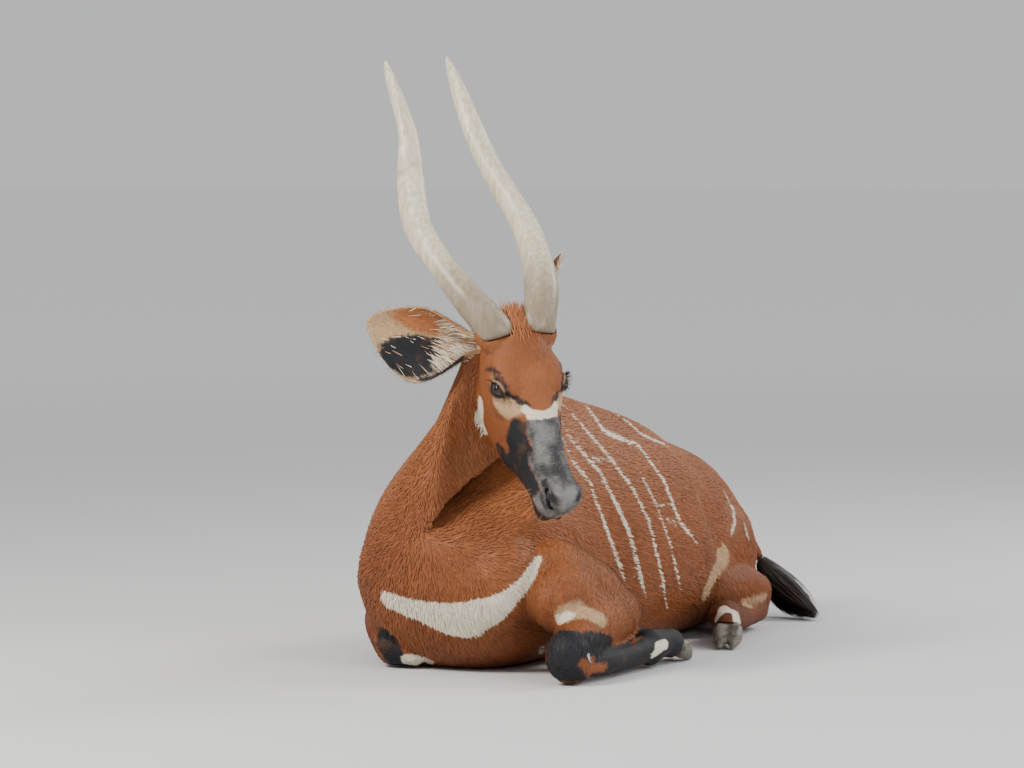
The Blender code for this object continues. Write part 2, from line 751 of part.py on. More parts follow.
def build_left_hind():
    upper = [
        ball((0.115, 1.010, 0.165), (0.112, 0.165, 0.130), (8, 0, 6)),
        ball((0.158, 0.915, 0.125), (0.080, 0.098, 0.090), (0, 0, 14)),
        limb([(0.196, 0.900, 0.105), (0.212, 0.980, 0.098), (0.212, 1.065, 0.086)], [0.062, 0.058, 0.044]),
        ball((0.210, 1.075, 0.070), (0.036, 0.044, 0.046)),
        limb([(0.196, 1.122, 0.096), (0.208, 1.075, 0.080)], [0.019, 0.030]),
    ]
    upper = fused("hind_left_upper", upper, LEG_VOXEL, 8)
    lower = [
        limb([(0.218, 1.062, 0.046), (0.240, 0.960, 0.042), (0.268, 0.860, 0.044), (0.284, 0.800, 0.050)], [0.034, 0.030, 0.030, 0.034]),
        ball((0.287, 0.778, 0.054), (0.040, 0.042, 0.045)),
        limb([(0.290, 0.770, 0.052), (0.312, 0.738, 0.046), (0.322, 0.722, 0.040)], [0.037, 0.033, 0.033]),
        ball((0.262, 0.758, 0.072), (0.013, 0.015, 0.011)),
    ]
    lower = fused("hind_left_lower", lower, LEG_VOXEL, 4)
    return upper, lower


def build_right_hind():
    upper = [
        ball((-0.135, 1.010, 0.155), (0.110, 0.162, 0.125), (8, 0, -6)),
        ball((-0.175, 0.905, 0.115), (0.080, 0.100, 0.088), (0, 0, -14)),
        limb([(-0.206, 0.890, 0.098), (-0.222, 0.970, 0.088), (-0.218, 1.060, 0.078)], [0.064, 0.058, 0.044]),
        ball((-0.214, 1.078, 0.066), (0.036, 0.044, 0.044)),
        limb([(-0.200, 1.124, 0.088), (-0.212, 1.075, 0.074)], [0.019, 0.030]),
    ]
    upper = fused("hind_right_upper", upper, LEG_VOXEL, 8)
    lower = [
        limb([(-0.222, 1.065, 0.044), (-0.252, 0.960, 0.038), (-0.272, 0.870, 0.038), (-0.280, 0.810, 0.044)], [0.034, 0.030, 0.029, 0.032]),
        ball((-0.282, 0.785, 0.046), (0.037, 0.042, 0.042)),
        limb([(-0.282, 0.780, 0.046), (-0.288, 0.735, 0.044), (-0.290, 0.705, 0.040)], [0.036, 0.031, 0.033]),
        ball((-0.258, 0.775, 0.072), (0.012, 0.015, 0.010)),
    ]
    lower = fused("hind_right_lower", lower, LEG_VOXEL, 4)
    return upper, lower


def build_hoof(root, toe, up, width=0.031):
    """A cloven hoof: two claws side by side, each flat below, high at the back and pointed in front."""
    root = Vector(root)
    toe = Vector(toe)
    forward = (toe - root).normalized()
    up = Vector(up)
    up = (up - forward * up.dot(forward)).normalized()
    side = forward.cross(up)
    length = (toe - root).length
    pieces = []
    for claw in (1, -1):
        rings = []
        # Each row: share of the length, half width, height above the sole, how far it lies off the middle
        for share, half, high, low in [
            (-0.05, 0.50, 0.62, 0.30),
            (0.05, 0.80, 0.90, 0.06),
            (0.25, 0.95, 1.00, 0.00),
            (0.50, 0.92, 0.84, 0.00),
            (0.75, 0.70, 0.54, 0.00),
            (0.92, 0.40, 0.26, 0.00),
            (1.00, 0.14, 0.10, 0.02),
        ]:
            ring = []
            drift = claw * (0.0165 - 0.006 * max(share - 0.5, 0.0))
            for j in range(14):
                around = 2 * math.pi * j / 14
                wide = 0.0185 * half * power(math.cos(around), 0.8)
                height = 0.046 * (low + (high - low) * (0.5 + 0.5 * power(math.sin(around), 0.8)))
                ring.append(root + forward * (length * share) + side * (drift + wide) + up * (height - 0.023))
            rings.append(ring)
        pieces.append(loft("claw", rings))
    pieces.append(ball(root + forward * 0.012, (0.030, 0.020, 0.020)))
    return fused("hoof", pieces, 0.0032, 3)


# Tail: its run from the rump, down and out to the left, and the tuft's locks
TAIL_ROWS = [(0.008, 1.230, 0.270), (0.030, 1.296, 0.235), (0.070, 1.318, 0.180), (0.110, 1.312, 0.128)]
TAIL_RADII = [0.026, 0.021, 0.015, 0.012]

# Each row: X, Y, Z, radius of the tuft
TUFT_ROWS = [
    (0.106, 1.313, 0.134, 0.016),
    (0.122, 1.309, 0.112, 0.029),
    (0.150, 1.301, 0.083, 0.042),
    (0.188, 1.289, 0.055, 0.045),
    (0.226, 1.276, 0.033, 0.036),
    (0.264, 1.263, 0.018, 0.018),
    (0.282, 1.257, 0.012, 0.008),
]


def lock(points, width, thickness, face):
    """One flat lock of hair that bends along its lie and runs out to a blunt tip."""
    rings = []
    count = len(points)
    for i, place in enumerate(points):
        ahead = Vector(points[min(i + 1, count - 1)])
        behind = Vector(points[max(i - 1, 0)])
        run = (ahead - behind).normalized()
        side = run.cross(face)
        side.normalize()
        up = side.cross(run)
        share = i / (count - 1)
        swell = (0.62 + 0.38 * math.sin(math.pi * min(share * 1.25, 1.0))) * (1.0 - share**3 * 0.84)
        wide = width * swell
        thick = thickness * (0.55 + 0.45 * swell) * (1.0 - share**3 * 0.6)
        corners = [side * wide, up * thick, -side * wide, -up * thick * 0.7]
        rings.append([Vector(place) + corner for corner in corners])
    return loft("lock", rings)


def build_tuft():
    """The black tuft: a core along its lie, covered by overlapping locks that start inside it."""
    chance = random.Random(TUFT_SEED)
    path = smooth_through(TUFT_ROWS, 8)
    pieces = [fused("tuft_core", limb([row[:3] for row in TUFT_ROWS], [row[3] * 0.62 for row in TUFT_ROWS]), 0.006, 2)]
    pieces[0] = thinned(pieces[0], 160)
    last = len(path) - 1
    for number in range(TUFT_LOCKS):
        begin = (number + 0.5) / TUFT_LOCKS * 0.66
        around = number * 2.39996 + chance.uniform(-0.3, 0.3)
        reach = chance.uniform(0.30, 0.42)
        places = []
        for step in range(5):
            share = min(begin + reach * step / 4, 1.0)
            at = share * last
            low = int(min(at, last - 1))
            row = path[low] + (path[low + 1] - path[low]) * (at - low)
            run = Vector(path[low + 1][:3] - path[low][:3]).normalized()
            side = run.cross(Vector((0.0, 0.0, 1.0))).normalized()
            up = side.cross(run)
            turn = around + 0.25 * step * chance.uniform(0.4, 1.0)
            outward_way = side * math.cos(turn) + up * math.sin(turn)
            lift = row[3] * (0.36 + 0.18 * step if step < 4 else 0.80)
            place = Vector(row[:3]) + outward_way * lift
            if step == 4:
                place += run * 0.012
            places.append(place)
        middle_way = (places[3] - Vector(path[int(min(begin + reach * 0.6, 1.0) * last)][:3])).normalized()
        pieces.append(lock(places, chance.uniform(0.0095, 0.0130), 0.0060, middle_way))
    whole = pieces[0]
    others = bpy.data.collections.new("locks")
    bpy.context.scene.collection.children.link(others)
    others.hide_render = True
    for piece in pieces[1:]:
        cutters.objects.unlink(piece)
        others.objects.link(piece)
    union = whole.modifiers.new("locks", "BOOLEAN")
    union.operation = "UNION"
    union.operand_type = "COLLECTION"
    union.collection = others
    union.solver = "MANIFOLD"
    tuft = largest(bake(whole))
    for piece in list(others.objects):
        bpy.data.objects.remove(piece, do_unlink=True)
    bpy.data.collections.remove(others)
    tuft.name = "tail_tuft"
    return tuft


def build():
    torso_forms = trunk_pieces()
    torso_forms.append(neck_piece())
    body = fused("body", torso_forms, BODY_VOXEL, 22)
    body = sculpt(body, [
        # Hollow behind the left shoulder and in front of the left haunch
        ((0.235, 0.400, 0.200), (0.070, 0.110, 0.200), (-0.018, 0.0, 0.0)),
        ((-0.250, 0.420, 0.200), (0.070, 0.110, 0.200), (0.016, 0.0, 0.0)),
        ((0.210, 0.860, 0.270), (0.080, 0.110, 0.120), (-0.022, 0.0, 0.0)),
        ((-0.210, 0.860, 0.260), (0.080, 0.110, 0.120), (0.022, 0.0, 0.0)),
    ])
    head = build_head()

    # The neck is parted from the torso and from the head along thin plane cuts
    shoulder_cut = ((0.06, 0.13, 0.420), (0.25, -0.62, 0.74))
    neck_copy = new_object("neck", body.data.copy(), cutters)
    torso = part_at(body, *shoulder_cut, keep_side=-1)
    neck = part_at(neck_copy, *shoulder_cut, keep_side=1)

    torso = thinned(torso, BUDGET["torso"])
    neck = thinned(neck, BUDGET["neck"])
    neck = seat(neck, head)

    eyes = {"left": build_eye(1), "right": build_eye(-1)}
    horns = {"left": thinned(build_horn(1), BUDGET["horn"]), "right": thinned(build_horn(-1), BUDGET["horn"])}
    ears = {side: thinned(build_ear(side), BUDGET["ear"]) for side in ("left", "right")}
    for side in ("left", "right"):
        head = seat(head, eyes[side])
        head = seat(head, horns[side])
        ears[side] = seat(ears[side], horns[side], gap=0.003)
        head = seat(head, ears[side])
        neck = seat(neck, ears[side])

    legs = {
        "fore_left": build_left_fore(),
        "fore_right": build_right_fore(),
        "hind_left": build_left_hind(),
        "hind_right": build_right_hind(),
    }
    hooves = {
        "fore_left": build_hoof((0.341, 0.412, 0.036), (0.338, 0.492, 0.024), (0.25, 0.0, 1.0)),
        "fore_right": build_hoof((-0.279, 0.436, 0.034), (-0.284, 0.515, 0.024), (-0.2, 0.0, 1.0)),
        "hind_left": build_hoof((0.324, 0.716, 0.036), (0.352, 0.648, 0.024), (0.0, 0.0, 1.0)),
        "hind_right": build_hoof((-0.285, 0.700, 0.036), (-0.296, 0.625, 0.024), (0.0, 0.0, 1.0)),
    }
    parts = {}
    for where, (upper, lower) in legs.items():
        upper = thinned(upper, BUDGET["upper"])
        lower = thinned(lower, BUDGET["lower"])
        hoof = thinned(hooves[where], BUDGET["hoof"])
        lower = seat(lower, hoof)
        lower = seat(lower, upper)
        parts[where] = [upper, lower, hoof]
        for piece in parts[where]:
            torso = seat(torso, piece)

    tail = fused("tail", limb(TAIL_ROWS, TAIL_RADII), 0.004, 3)
    tail = thinned(tail, BUDGET["tail"])
    tuft = build_tuft()
    tail = seat(tail, tuft)
    tail = seat(tail, torso)

    nodes = {
        "torso": (torso, COAT),
        "neck": (neck, COAT),
        "head": (head, COAT),
        "tail": (tail, COAT),
        "tail_tuft": (tuft, TUFT),
    }
    for side in ("left", "right"):
        nodes["eye_" + side] = (eyes[side], EYE)
        nodes["horn_" + side] = (horns[side], HORN)
        nodes["ear_" + side] = (ears[side], COAT)
    for where, (upper, lower, hoof) in parts.items():
        limb_name, side = where.split("_")
        nodes[limb_name + "leg_upper_" + side] = (upper, COAT)
        nodes[limb_name + "leg_lower_" + side] = (lower, DARK_COAT)
        nodes["hoof_" + limb_name + "_" + side] = (hoof, HOOF)

    # Whatever lies below the floor is cut to a flat at floor level
    floor = half_space((0.0, 0.6, 0.0), (0.0, 0.0, -1.0), 4.0)
    done = {}
    for name, (piece, look) in nodes.items():
        lowest = min(vertex.co.z for vertex in piece.data.vertices)
        if lowest < 0.0:
            piece = largest(boolean(piece, floor))
        done[name] = finished(piece, name, look)
    bpy.data.objects.remove(floor, do_unlink=True)

    # The origin goes to the middle of the bounding box, at floor level
    corners = np.array([vertex.co[:] for piece in done.values() for vertex in piece.data.vertices])
    low = corners.min(axis=0)
    high = corners.max(axis=0)
    shift = Vector((-(low[0] + high[0]) / 2, -(low[1] + high[1]) / 2, -low[2]))
    for piece in done.values():
        piece.data.transform(Matrix.Translation(shift))
        piece.data.update()
    return shift


SHIFT = build()
for leftover in list(cutters.objects):
    leftover.hide_render = True
    leftover.display_type = "WIRE"
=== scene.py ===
"""The looks of a life-size bongo lying down: one skin with its short coat and long hair, eyes, horns and hooves."""

import math

import bmesh
import bpy
import numpy as np
from mathutils import Matrix, Vector
from mathutils.bvhtree import BVHTree


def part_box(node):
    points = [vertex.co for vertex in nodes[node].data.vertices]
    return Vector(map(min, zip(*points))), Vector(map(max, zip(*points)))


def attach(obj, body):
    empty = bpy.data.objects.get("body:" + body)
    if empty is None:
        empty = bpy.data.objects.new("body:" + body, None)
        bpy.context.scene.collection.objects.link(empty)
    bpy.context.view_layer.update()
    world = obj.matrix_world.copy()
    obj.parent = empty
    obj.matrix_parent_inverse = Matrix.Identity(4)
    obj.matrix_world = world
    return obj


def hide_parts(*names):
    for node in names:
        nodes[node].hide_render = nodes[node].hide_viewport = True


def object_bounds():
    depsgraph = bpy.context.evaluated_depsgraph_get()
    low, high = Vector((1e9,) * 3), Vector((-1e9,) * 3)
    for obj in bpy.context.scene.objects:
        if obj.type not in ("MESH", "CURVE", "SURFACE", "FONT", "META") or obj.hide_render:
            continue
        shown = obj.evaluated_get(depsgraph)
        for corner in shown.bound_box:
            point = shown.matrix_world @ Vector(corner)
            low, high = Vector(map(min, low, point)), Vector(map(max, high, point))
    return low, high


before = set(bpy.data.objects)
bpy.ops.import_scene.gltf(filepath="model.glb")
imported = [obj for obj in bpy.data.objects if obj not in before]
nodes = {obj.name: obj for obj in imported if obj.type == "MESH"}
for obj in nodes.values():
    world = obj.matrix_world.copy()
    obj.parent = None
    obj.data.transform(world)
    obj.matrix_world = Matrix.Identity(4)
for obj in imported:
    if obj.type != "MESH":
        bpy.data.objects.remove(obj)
cad_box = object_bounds()

# Where the part's source moves its own axes to put the origin under the middle of the box
SHIFT = Vector((-0.02998, -0.61034, 0.0))

# The photograph's camera: focal length in pixels of a picture 1024 by 768
PHOTO_WIDTH, PHOTO_HEIGHT = 1024, 768
FOCAL_PIXELS = 3920.0
SENSOR_WIDTH = 36.0
CAMERA_PLACE = Vector((4.19, -6.93, 1.04)) + SHIFT
CAMERA_TURN = math.radians(30.0)
CAMERA_PITCH = math.atan2(212.0, FOCAL_PIXELS)

# The head's own axes: the point between the horns, then its left, back and up
POLL = Vector((0.197, 0.004, 0.722)) + SHIFT
HEAD_AXES = np.array([Vector(axis).normalized()[:] for axis in (
    (0.568, 0.819, 0.084),
    (-0.454, 0.226, 0.862),
    (0.687, -0.527, 0.500),
)])

# Skin: voxel sizes, and where the head's finer skin meets the body's
BODY_VOXEL = 0.0050
HEAD_VOXEL = 0.0018
SWELL = 0.0003
WELD = 1e-6
SMOOTHING = {"factor": 0.5, "iterations": 6}
BODY_TRIANGLES = 70000
HEAD_TRIANGLES = 118000
NECK_PLACE = Vector((0.100, 0.050, 0.500)) + SHIFT
NECK_WAY = Vector((0.25, -0.62, 0.74)).normalized()
NECK_OVERLAP = 0.030
NECK_SINK = 0.0012

rng = np.random.default_rng(7)

# The sides of the animal, and the sign of X on each
SIDES = {"left": 1.0, "right": -1.0}

# Keeps a length of nothing from dividing by zero
TINY = 1e-9

FLOOR_SIDE = 200.0


# Meshes

def new_object(name, mesh):
    made = bpy.data.objects.new(name, mesh)
    bpy.context.scene.collection.objects.link(made)
    return made


def mesh_from(name, places, faces):
    """A mesh from an array of places and an array, or several, of faces of one size each."""
    mesh = bpy.data.meshes.new(name)
    groups = [faces] if isinstance(faces, np.ndarray) else faces
    corners = np.concatenate([group.ravel() for group in groups]).astype(np.int32)
    sizes = np.concatenate([np.full(len(group), group.shape[1]) for group in groups])
    starts = np.concatenate([[0], np.cumsum(sizes)[:-1]]).astype(np.int32)
    mesh.vertices.add(len(places))
    mesh.vertices.foreach_set("co", np.asarray(places, np.float32).ravel())
    mesh.loops.add(len(corners))
    mesh.loops.foreach_set("vertex_index", corners)
    mesh.polygons.add(len(starts))
    mesh.polygons.foreach_set("loop_start", starts)
    mesh.polygons.foreach_set("use_smooth", np.ones(len(starts), bool))
    mesh.update(calc_edges=True)
    return mesh


def places_of(mesh):
    places = np.zeros(len(mesh.vertices) * 3, np.float32)
    mesh.vertices.foreach_get("co", places)
    return places.reshape(-1, 3).astype(float)


def set_places(mesh, places):
    mesh.vertices.foreach_set("co", places.astype(np.float32).ravel())
    mesh.update()


def triangles_of(mesh):
    mesh.calc_loop_triangles()
    corners = np.zeros(len(mesh.loop_triangles) * 3, np.int32)
    mesh.loop_triangles.foreach_get("vertices", corners)
    return corners.reshape(-1, 3)


def normals_of(mesh):
    normals = np.zeros(len(mesh.vertices) * 3, np.float32)
    mesh.vertex_normals.foreach_get("vector", normals)
    return normals.reshape(-1, 3).astype(float)


def settled(thing):
    """The object with its modifiers made real."""
    graph = bpy.context.evaluated_depsgraph_get()
    mesh = bpy.data.meshes.new_from_object(thing.evaluated_get(graph))
    thing.modifiers.clear()
    old = thing.data
    thing.data = mesh
    bpy.data.meshes.remove(old)
    return thing


def with_modifier(thing, kind, **settings):
    modifier = thing.modifiers.new(kind.lower(), kind)
    for key, value in settings.items():
        setattr(modifier, key, value)
    return settled(thing)


# How far the neck's front keeps behind the jaw: height in the head's axes, then how far back
THROAT = np.array([
    (-0.420, -0.420), (-0.320, -0.220), (-0.230, -0.105), (-0.160, -0.035), (-0.100, 0.000), (-0.050, 0.030),
])
THROAT_KEPT = 0.30
THROAT_SOFT = 0.075
THROAT_SIDE = 0.22
THROAT_SIDE_SOFT = 0.13
# How much deeper the jaw is than the solid's, by how far back, inside the space of the neck's solid
JAW_DROP = np.array([
    (-0.340, 0.0), (-0.270, 0.034), (-0.210, 0.068), (-0.140, 0.066), (-0.080, 0.034), (-0.020, 0.0),
])
# The drop starts at the first depth below the head's axes and is whole at the second
JAW_BELOW = (0.045, 0.115)


def shaped(node, places):
    """A node's points with the throat drawn in behind the jaw, and the jaw let down into that space."""
    if node not in ("neck", "head"):
        return places
    local = head_local(places)
    if node == "neck":
        limit = np.interp(local[:, 2], *THROAT.T)
        before = limit - local[:, 1]
        soft = (before + THROAT_SOFT) ** 2 / (4 * THROAT_SOFT)
        before = np.where(before > THROAT_SOFT, before, np.where(before > -THROAT_SOFT, soft, 0.0))
        inner = step(THROAT_SIDE - np.abs(local[:, 0]), 0.0, THROAT_SIDE_SOFT)
        local[:, 1] += before * (1.0 - THROAT_KEPT) * inner
    else:
        local[:, 2] -= np.interp(local[:, 1], *JAW_DROP.T) * step(-local[:, 2], *JAW_BELOW)
    return head_world(local)


def merged_copy(name, names, swell=SWELL):
    """One mesh from copies of CAD nodes, each swelled a little so that the seams between them close."""
    sheet = bmesh.new()
    for node in names:
        part = bmesh.new()
        part.from_mesh(nodes[node].data)
        bmesh.ops.remove_doubles(part, verts=part.verts, dist=WELD)
        part.normal_update()
        for vertex in part.verts:
            vertex.co += vertex.normal * swell
        copy = bpy.data.meshes.new("copy")
        part.to_mesh(copy)
        part.free()
        set_places(copy, shaped(node, places_of(copy)))
        sheet.from_mesh(copy)
        bpy.data.meshes.remove(copy)
    mesh = bpy.data.meshes.new(name)
    sheet.to_mesh(mesh)
    sheet.free()
    return new_object(name, mesh)


def keep_side(thing, place, way):
    """Cuts a closed mesh with a plane, keeps the side that the way points to and closes the cut."""
    sheet = bmesh.new()
    sheet.from_mesh(thing.data)
    everything = sheet.verts[:] + sheet.edges[:] + sheet.faces[:]
    bmesh.ops.bisect_plane(sheet, geom=everything, plane_co=place, plane_no=way, clear_inner=True)
    bmesh.ops.holes_fill(sheet, edges=[edge for edge in sheet.edges if edge.is_boundary])
    bmesh.ops.triangulate(sheet, faces=[face for face in sheet.faces if len(face.verts) > 4])
    sheet.to_mesh(thing.data)
    sheet.free()


def head_local(places):
    """Places in the head's own axes: left, back, up."""
    return (places - np.array(POLL)) @ HEAD_AXES.T


def head_world(local):
    return np.asarray(local, float) @ HEAD_AXES + np.array(POLL)


def folded(places, middle):
    """Places with those of the right side mirrored to the left, about the plane where X has a given value."""
    places = places.copy()
    places[:, 0] = np.abs(places[:, 0] - middle)
    return places


def step(values, low, high):
    """0 below low, 1 above high and smooth between."""
    share = np.clip((values - low) / (high - low), 0.0, 1.0)
    return share * share * (3 - 2 * share)


def line_distance(places, line):
    """Distance of each place from a line of points, and how far along the line its foot is, from 0 to 1."""
    line = np.asarray(line, float)
    best = np.full(len(places), np.inf)
    share = np.zeros(len(places))
    for i in range(len(line) - 1):
        run = line[i + 1] - line[i]
        along = np.clip((places - line[i]) @ run / (run @ run), 0.0, 1.0)
        gap = np.linalg.norm(places - line[i] - along[:, None] * run, axis=1)
        nearer = gap < best
        best = np.where(nearer, gap, best)
        share = np.where(nearer, (i + along) / (len(line) - 1), share)
    return best, share


# Camera and light

def make_camera():
    camera = bpy.data.cameras.new("photo_camera")
    camera.sensor_width = SENSOR_WIDTH
    camera.lens = FOCAL_PIXELS / PHOTO_WIDTH * SENSOR_WIDTH
    made = new_object("photo_camera", camera)
    ahead = Vector((
        -math.sin(CAMERA_TURN) * math.cos(CAMERA_PITCH),
        math.cos(CAMERA_TURN) * math.cos(CAMERA_PITCH),
        -math.sin(CAMERA_PITCH),
    ))
    turn = ahead.to_track_quat("-Z", "Y").to_matrix().to_4x4()
    made.matrix_world = Matrix.Translation(CAMERA_PLACE) @ turn
    bpy.context.scene.camera = made


def make_light(name, place, target, size, power, colour):
    light = bpy.data.lights.new(name, "AREA")
    light.shape = "DISK"
    light.size = size
    light.energy = power
    light.color = colour
    made = new_object(name, light)
    ahead = Vector(target) - Vector(place)
    made.matrix_world = Matrix.Translation(place) @ ahead.to_track_quat("-Z", "Y").to_matrix().to_4x4()


# Name, place, target, size, power, colour
LIGHTS = [
    ("key", (-1.0, -3.8, 3.4), (0.0, -0.2, 0.4), 1.5, 230.0, (1.0, 0.96, 0.90)),
    ("fill", (4.4, -1.6, 2.0), (0.0, 0.1, 0.3), 2.6, 95.0, (0.92, 0.96, 1.0)),
    ("rim", (2.4, 3.2, 3.2), (0.0, 0.2, 0.4), 1.8, 130.0, (1.0, 0.98, 0.95)),
]
WORLD_COLOUR = (0.86, 0.87, 0.88, 1.0)
WORLD_STRENGTH = 0.72
# The floor is painted paler between these distances from its middle: painted light that makes up for the lamps' light
# not reaching the far floor, so that it meets the sky's colour
FLOOR_PAINTED_LIGHT = (2.0, 14.0)


def make_studio():
    """A pale floor, a soft key from the upper left of the picture, a fill and a rim from behind."""
    for light in LIGHTS:
        make_light(*light)
    world = bpy.data.worlds.new("studio")
    world.use_nodes = True
    sky = world.node_tree.nodes["Background"].inputs
    sky["Color"].default_value = WORLD_COLOUR
    sky["Strength"].default_value = WORLD_STRENGTH
    bpy.context.scene.world = world
    mesh = bpy.data.meshes.new("floor")
    side = FLOOR_SIDE
    mesh.from_pydata([(-side, -side, 0), (side, -side, 0), (side, side, 0), (-side, side, 0)], [], [(0, 1, 2, 3)])
    floor = new_object("floor", mesh)
    look = Look("studio_floor", {"Roughness": 0.9, "Specular IOR Level": 0.1})
    far = look.node("ShaderNodeVectorMath", {"operation": "LENGTH"}, {0: look.place()}, out=1)
    # Painted light: the floor grows paler far from its middle
    tone = look.noise(2.2, detail=4.0) * 0.02 + look.step(far, *FLOOR_PAINTED_LIGHT) * 0.28 + 0.66
    look.colour(look.grey(tone))
    mesh.materials.append(look.material)


# Materials

class Wire:
    """A number or a colour on its way through a material, with arithmetic written as Python expressions."""

    def __init__(self, look, socket):
        self.look = look
        self.socket = socket

    def __add__(self, other):
        return self.look.maths("ADD", self, other)

    def __radd__(self, other):
        return self.look.maths("ADD", other, self)

    def __sub__(self, other):
        return self.look.maths("SUBTRACT", self, other)

    def __rsub__(self, other):
        return self.look.maths("SUBTRACT", other, self)

    def __mul__(self, other):
        return self.look.maths("MULTIPLY", self, other)

    def __rmul__(self, other):
        return self.look.maths("MULTIPLY", other, self)


NOISE_ROUGHNESS = 0.55


class Look:
    """One material: its shader, and the nodes that feed it."""

    def __init__(self, name, constants):
        self.material = bpy.data.materials.new(name)
        self.material.use_nodes = True
        self.tree = self.material.node_tree
        self.shader = self.tree.nodes["Principled BSDF"]
        for key, value in constants.items():
            self.shader.inputs[key].default_value = value

    def node(self, kind, settings, inputs, out=0):
        made = self.tree.nodes.new(kind)
        for key, value in settings.items():
            setattr(made, key, value)
        for key, value in inputs.items():
            socket = made.inputs[key]
            if isinstance(value, Wire):
                self.tree.links.new(value.socket, socket)
            elif isinstance(value, tuple) and len(value) == 3 and socket.type == "RGBA":
                socket.default_value = (*value, 1.0)
            else:
                socket.default_value = value
        return Wire(self, made.outputs[out])

    def maths(self, operation, first, second):
        return self.node("ShaderNodeMath", {"operation": operation}, {0: first, 1: second})

    def field(self, name):
        """A number that the mesh carries at each point."""
        return self.node("ShaderNodeAttribute", {"attribute_name": name}, {}, out=2)

    def place(self):
        return self.node("ShaderNodeTexCoord", {}, {}, out=3)

    def stretched(self, scale):
        return self.node("ShaderNodeMapping", {}, {"Vector": self.place(), "Scale": scale})

    def noise(self, scale, detail=3.0, where=None):
        where = where or self.place()
        inputs = {"Vector": where, "Scale": scale, "Detail": detail, "Roughness": NOISE_ROUGHNESS}
        return self.node("ShaderNodeTexNoise", {}, inputs)

    def step(self, value, low, high):
        inputs = {"Value": value, "From Min": low, "From Max": high}
        return self.node("ShaderNodeMapRange", {"interpolation_type": "SMOOTHSTEP"}, inputs)

    def mix(self, share, first, second):
        return self.node("ShaderNodeMix", {"data_type": "RGBA"}, {0: share, 6: first, 7: second}, out=2)

    def grey(self, value):
        return self.node("ShaderNodeCombineColor", {}, {0: value, 1: value, 2: value})

    def colour(self, colour):
        self.tree.links.new(colour.socket, self.shader.inputs["Base Color"])

    def rough(self, value):
        self.tree.links.new(value.socket, self.shader.inputs["Roughness"])

    def bump(self, height, strength, distance):
        made = self.node("ShaderNodeBump", {}, {"Height": height, "Strength": strength, "Distance": distance})
        self.tree.links.new(made.socket, self.shader.inputs["Normal"])


CHESTNUT_DARK = (0.115, 0.030, 0.010)
CHESTNUT = (0.245, 0.072, 0.020)
CHESTNUT_LIGHT = (0.420, 0.150, 0.048)
CREAM = (0.680, 0.580, 0.430)
CREAM_LIGHT = (0.860, 0.800, 0.680)
TAN = (0.480, 0.300, 0.160)
BLUE_BLACK = (0.011, 0.011, 0.014)
SOOT_BROWN = (0.055, 0.026, 0.014)
NOSE_DARK = (0.030, 0.028, 0.029)
NOSE_SHEEN_GREY = (0.190, 0.180, 0.172)
IVORY_DARK = (0.52, 0.44, 0.30)
IVORY = (0.76, 0.69, 0.54)
HORN_DUSK = (0.150, 0.100, 0.062)
HORN_SMOKE = (0.22, 0.21, 0.20)
HOOF_DARK = (0.055, 0.050, 0.042)
HOOF_PALE = (0.200, 0.175, 0.130)
IRIS_DARK = (0.030, 0.012, 0.005)
IRIS_BROWN = (0.085, 0.038, 0.015)
PUPIL = (0.003, 0.003, 0.004)
EYE_EDGE = (0.040, 0.030, 0.026)
TAIL_BLACK = (0.008, 0.007, 0.008)
TAIL_BROWN = (0.105, 0.085, 0.075)
RIM_BLACK = (0.010, 0.008, 0.008)
RIM_BROWN = (0.030, 0.022, 0.020)


def coat_colour(look, hair):
    """The bongo's coat from the marks that the skin and each tuft carry."""
    mottle = look.noise(9.0, detail=4.0)
    strand = look.noise(420.0, detail=1.0)
    tone = look.field("tone") + (mottle - 0.5) * 0.5 + (strand - 0.5) * 0.35
    if hair:
        tone = tone + (look.field("chance") - 0.5) * 0.34
    colour = look.mix(look.step(tone, 0.12, 0.5), CHESTNUT_DARK, CHESTNUT)
    colour = look.mix(look.step(tone, 0.5, 0.98), colour, CHESTNUT_LIGHT)
    ragged = (look.noise(110.0, detail=4.0) - 0.5) * 0.015
    colour = look.mix(look.step(look.field("tan_mark") + ragged, 0.006, -0.006), colour, TAN)
    soot = look.mix(look.step(look.noise(24.0, detail=4.0), 0.52, 0.70), BLUE_BLACK, SOOT_BROWN)
    # The muzzle's near black is the bare skin's own colour; its pale grey, mixed in by noise, is painted sheen of
    # light on the nose and its bridge
    smoke = look.noise(26.0, detail=3.0) * 0.65 + look.noise(420.0, detail=3.0) * 0.35
    muzzle = look.mix(look.step(smoke, 0.36, 0.66), NOSE_DARK, NOSE_SHEEN_GREY)
    colour = look.mix(look.step(look.field("grey_and_sheen_mark") + ragged * 2.0, 0.006, -0.006), colour, muzzle)
    colour = look.mix(look.step(look.field("dark_mark") + ragged, 0.005, -0.004), colour, soot)
    cream = look.mix(look.step(strand, 0.35, 0.75), CREAM, CREAM_LIGHT)
    fine = (look.noise(240.0, detail=3.0) - 0.5) * 0.0060
    return look.mix(look.step(look.field("white_mark") + fine, 0.0022, -0.0022), colour, cream)


def skin_look():
    look = Look("bongo_skin", {"Specular IOR Level": 0.35})
    look.colour(coat_colour(look, hair=False))
    bare = look.field("bare")
    hairs = look.noise(520.0, detail=2.0) + look.noise(60.0, detail=3.0) * 0.5
    pebbles = look.node("ShaderNodeTexVoronoi", {"feature": "SMOOTH_F1"}, {"Vector": look.place(), "Scale": 420.0})
    look.rough(0.66 - bare * 0.30 + hairs * 0.06)
    look.bump(hairs * (1.0 - bare) + pebbles * bare * 1.6, 0.5, 0.0008)
    return look.material


def coat_look():
    look = Look("bongo_coat", {"Roughness": 0.55, "Specular IOR Level": 0.40})
    look.colour(coat_colour(look, hair=True))
    return look.material


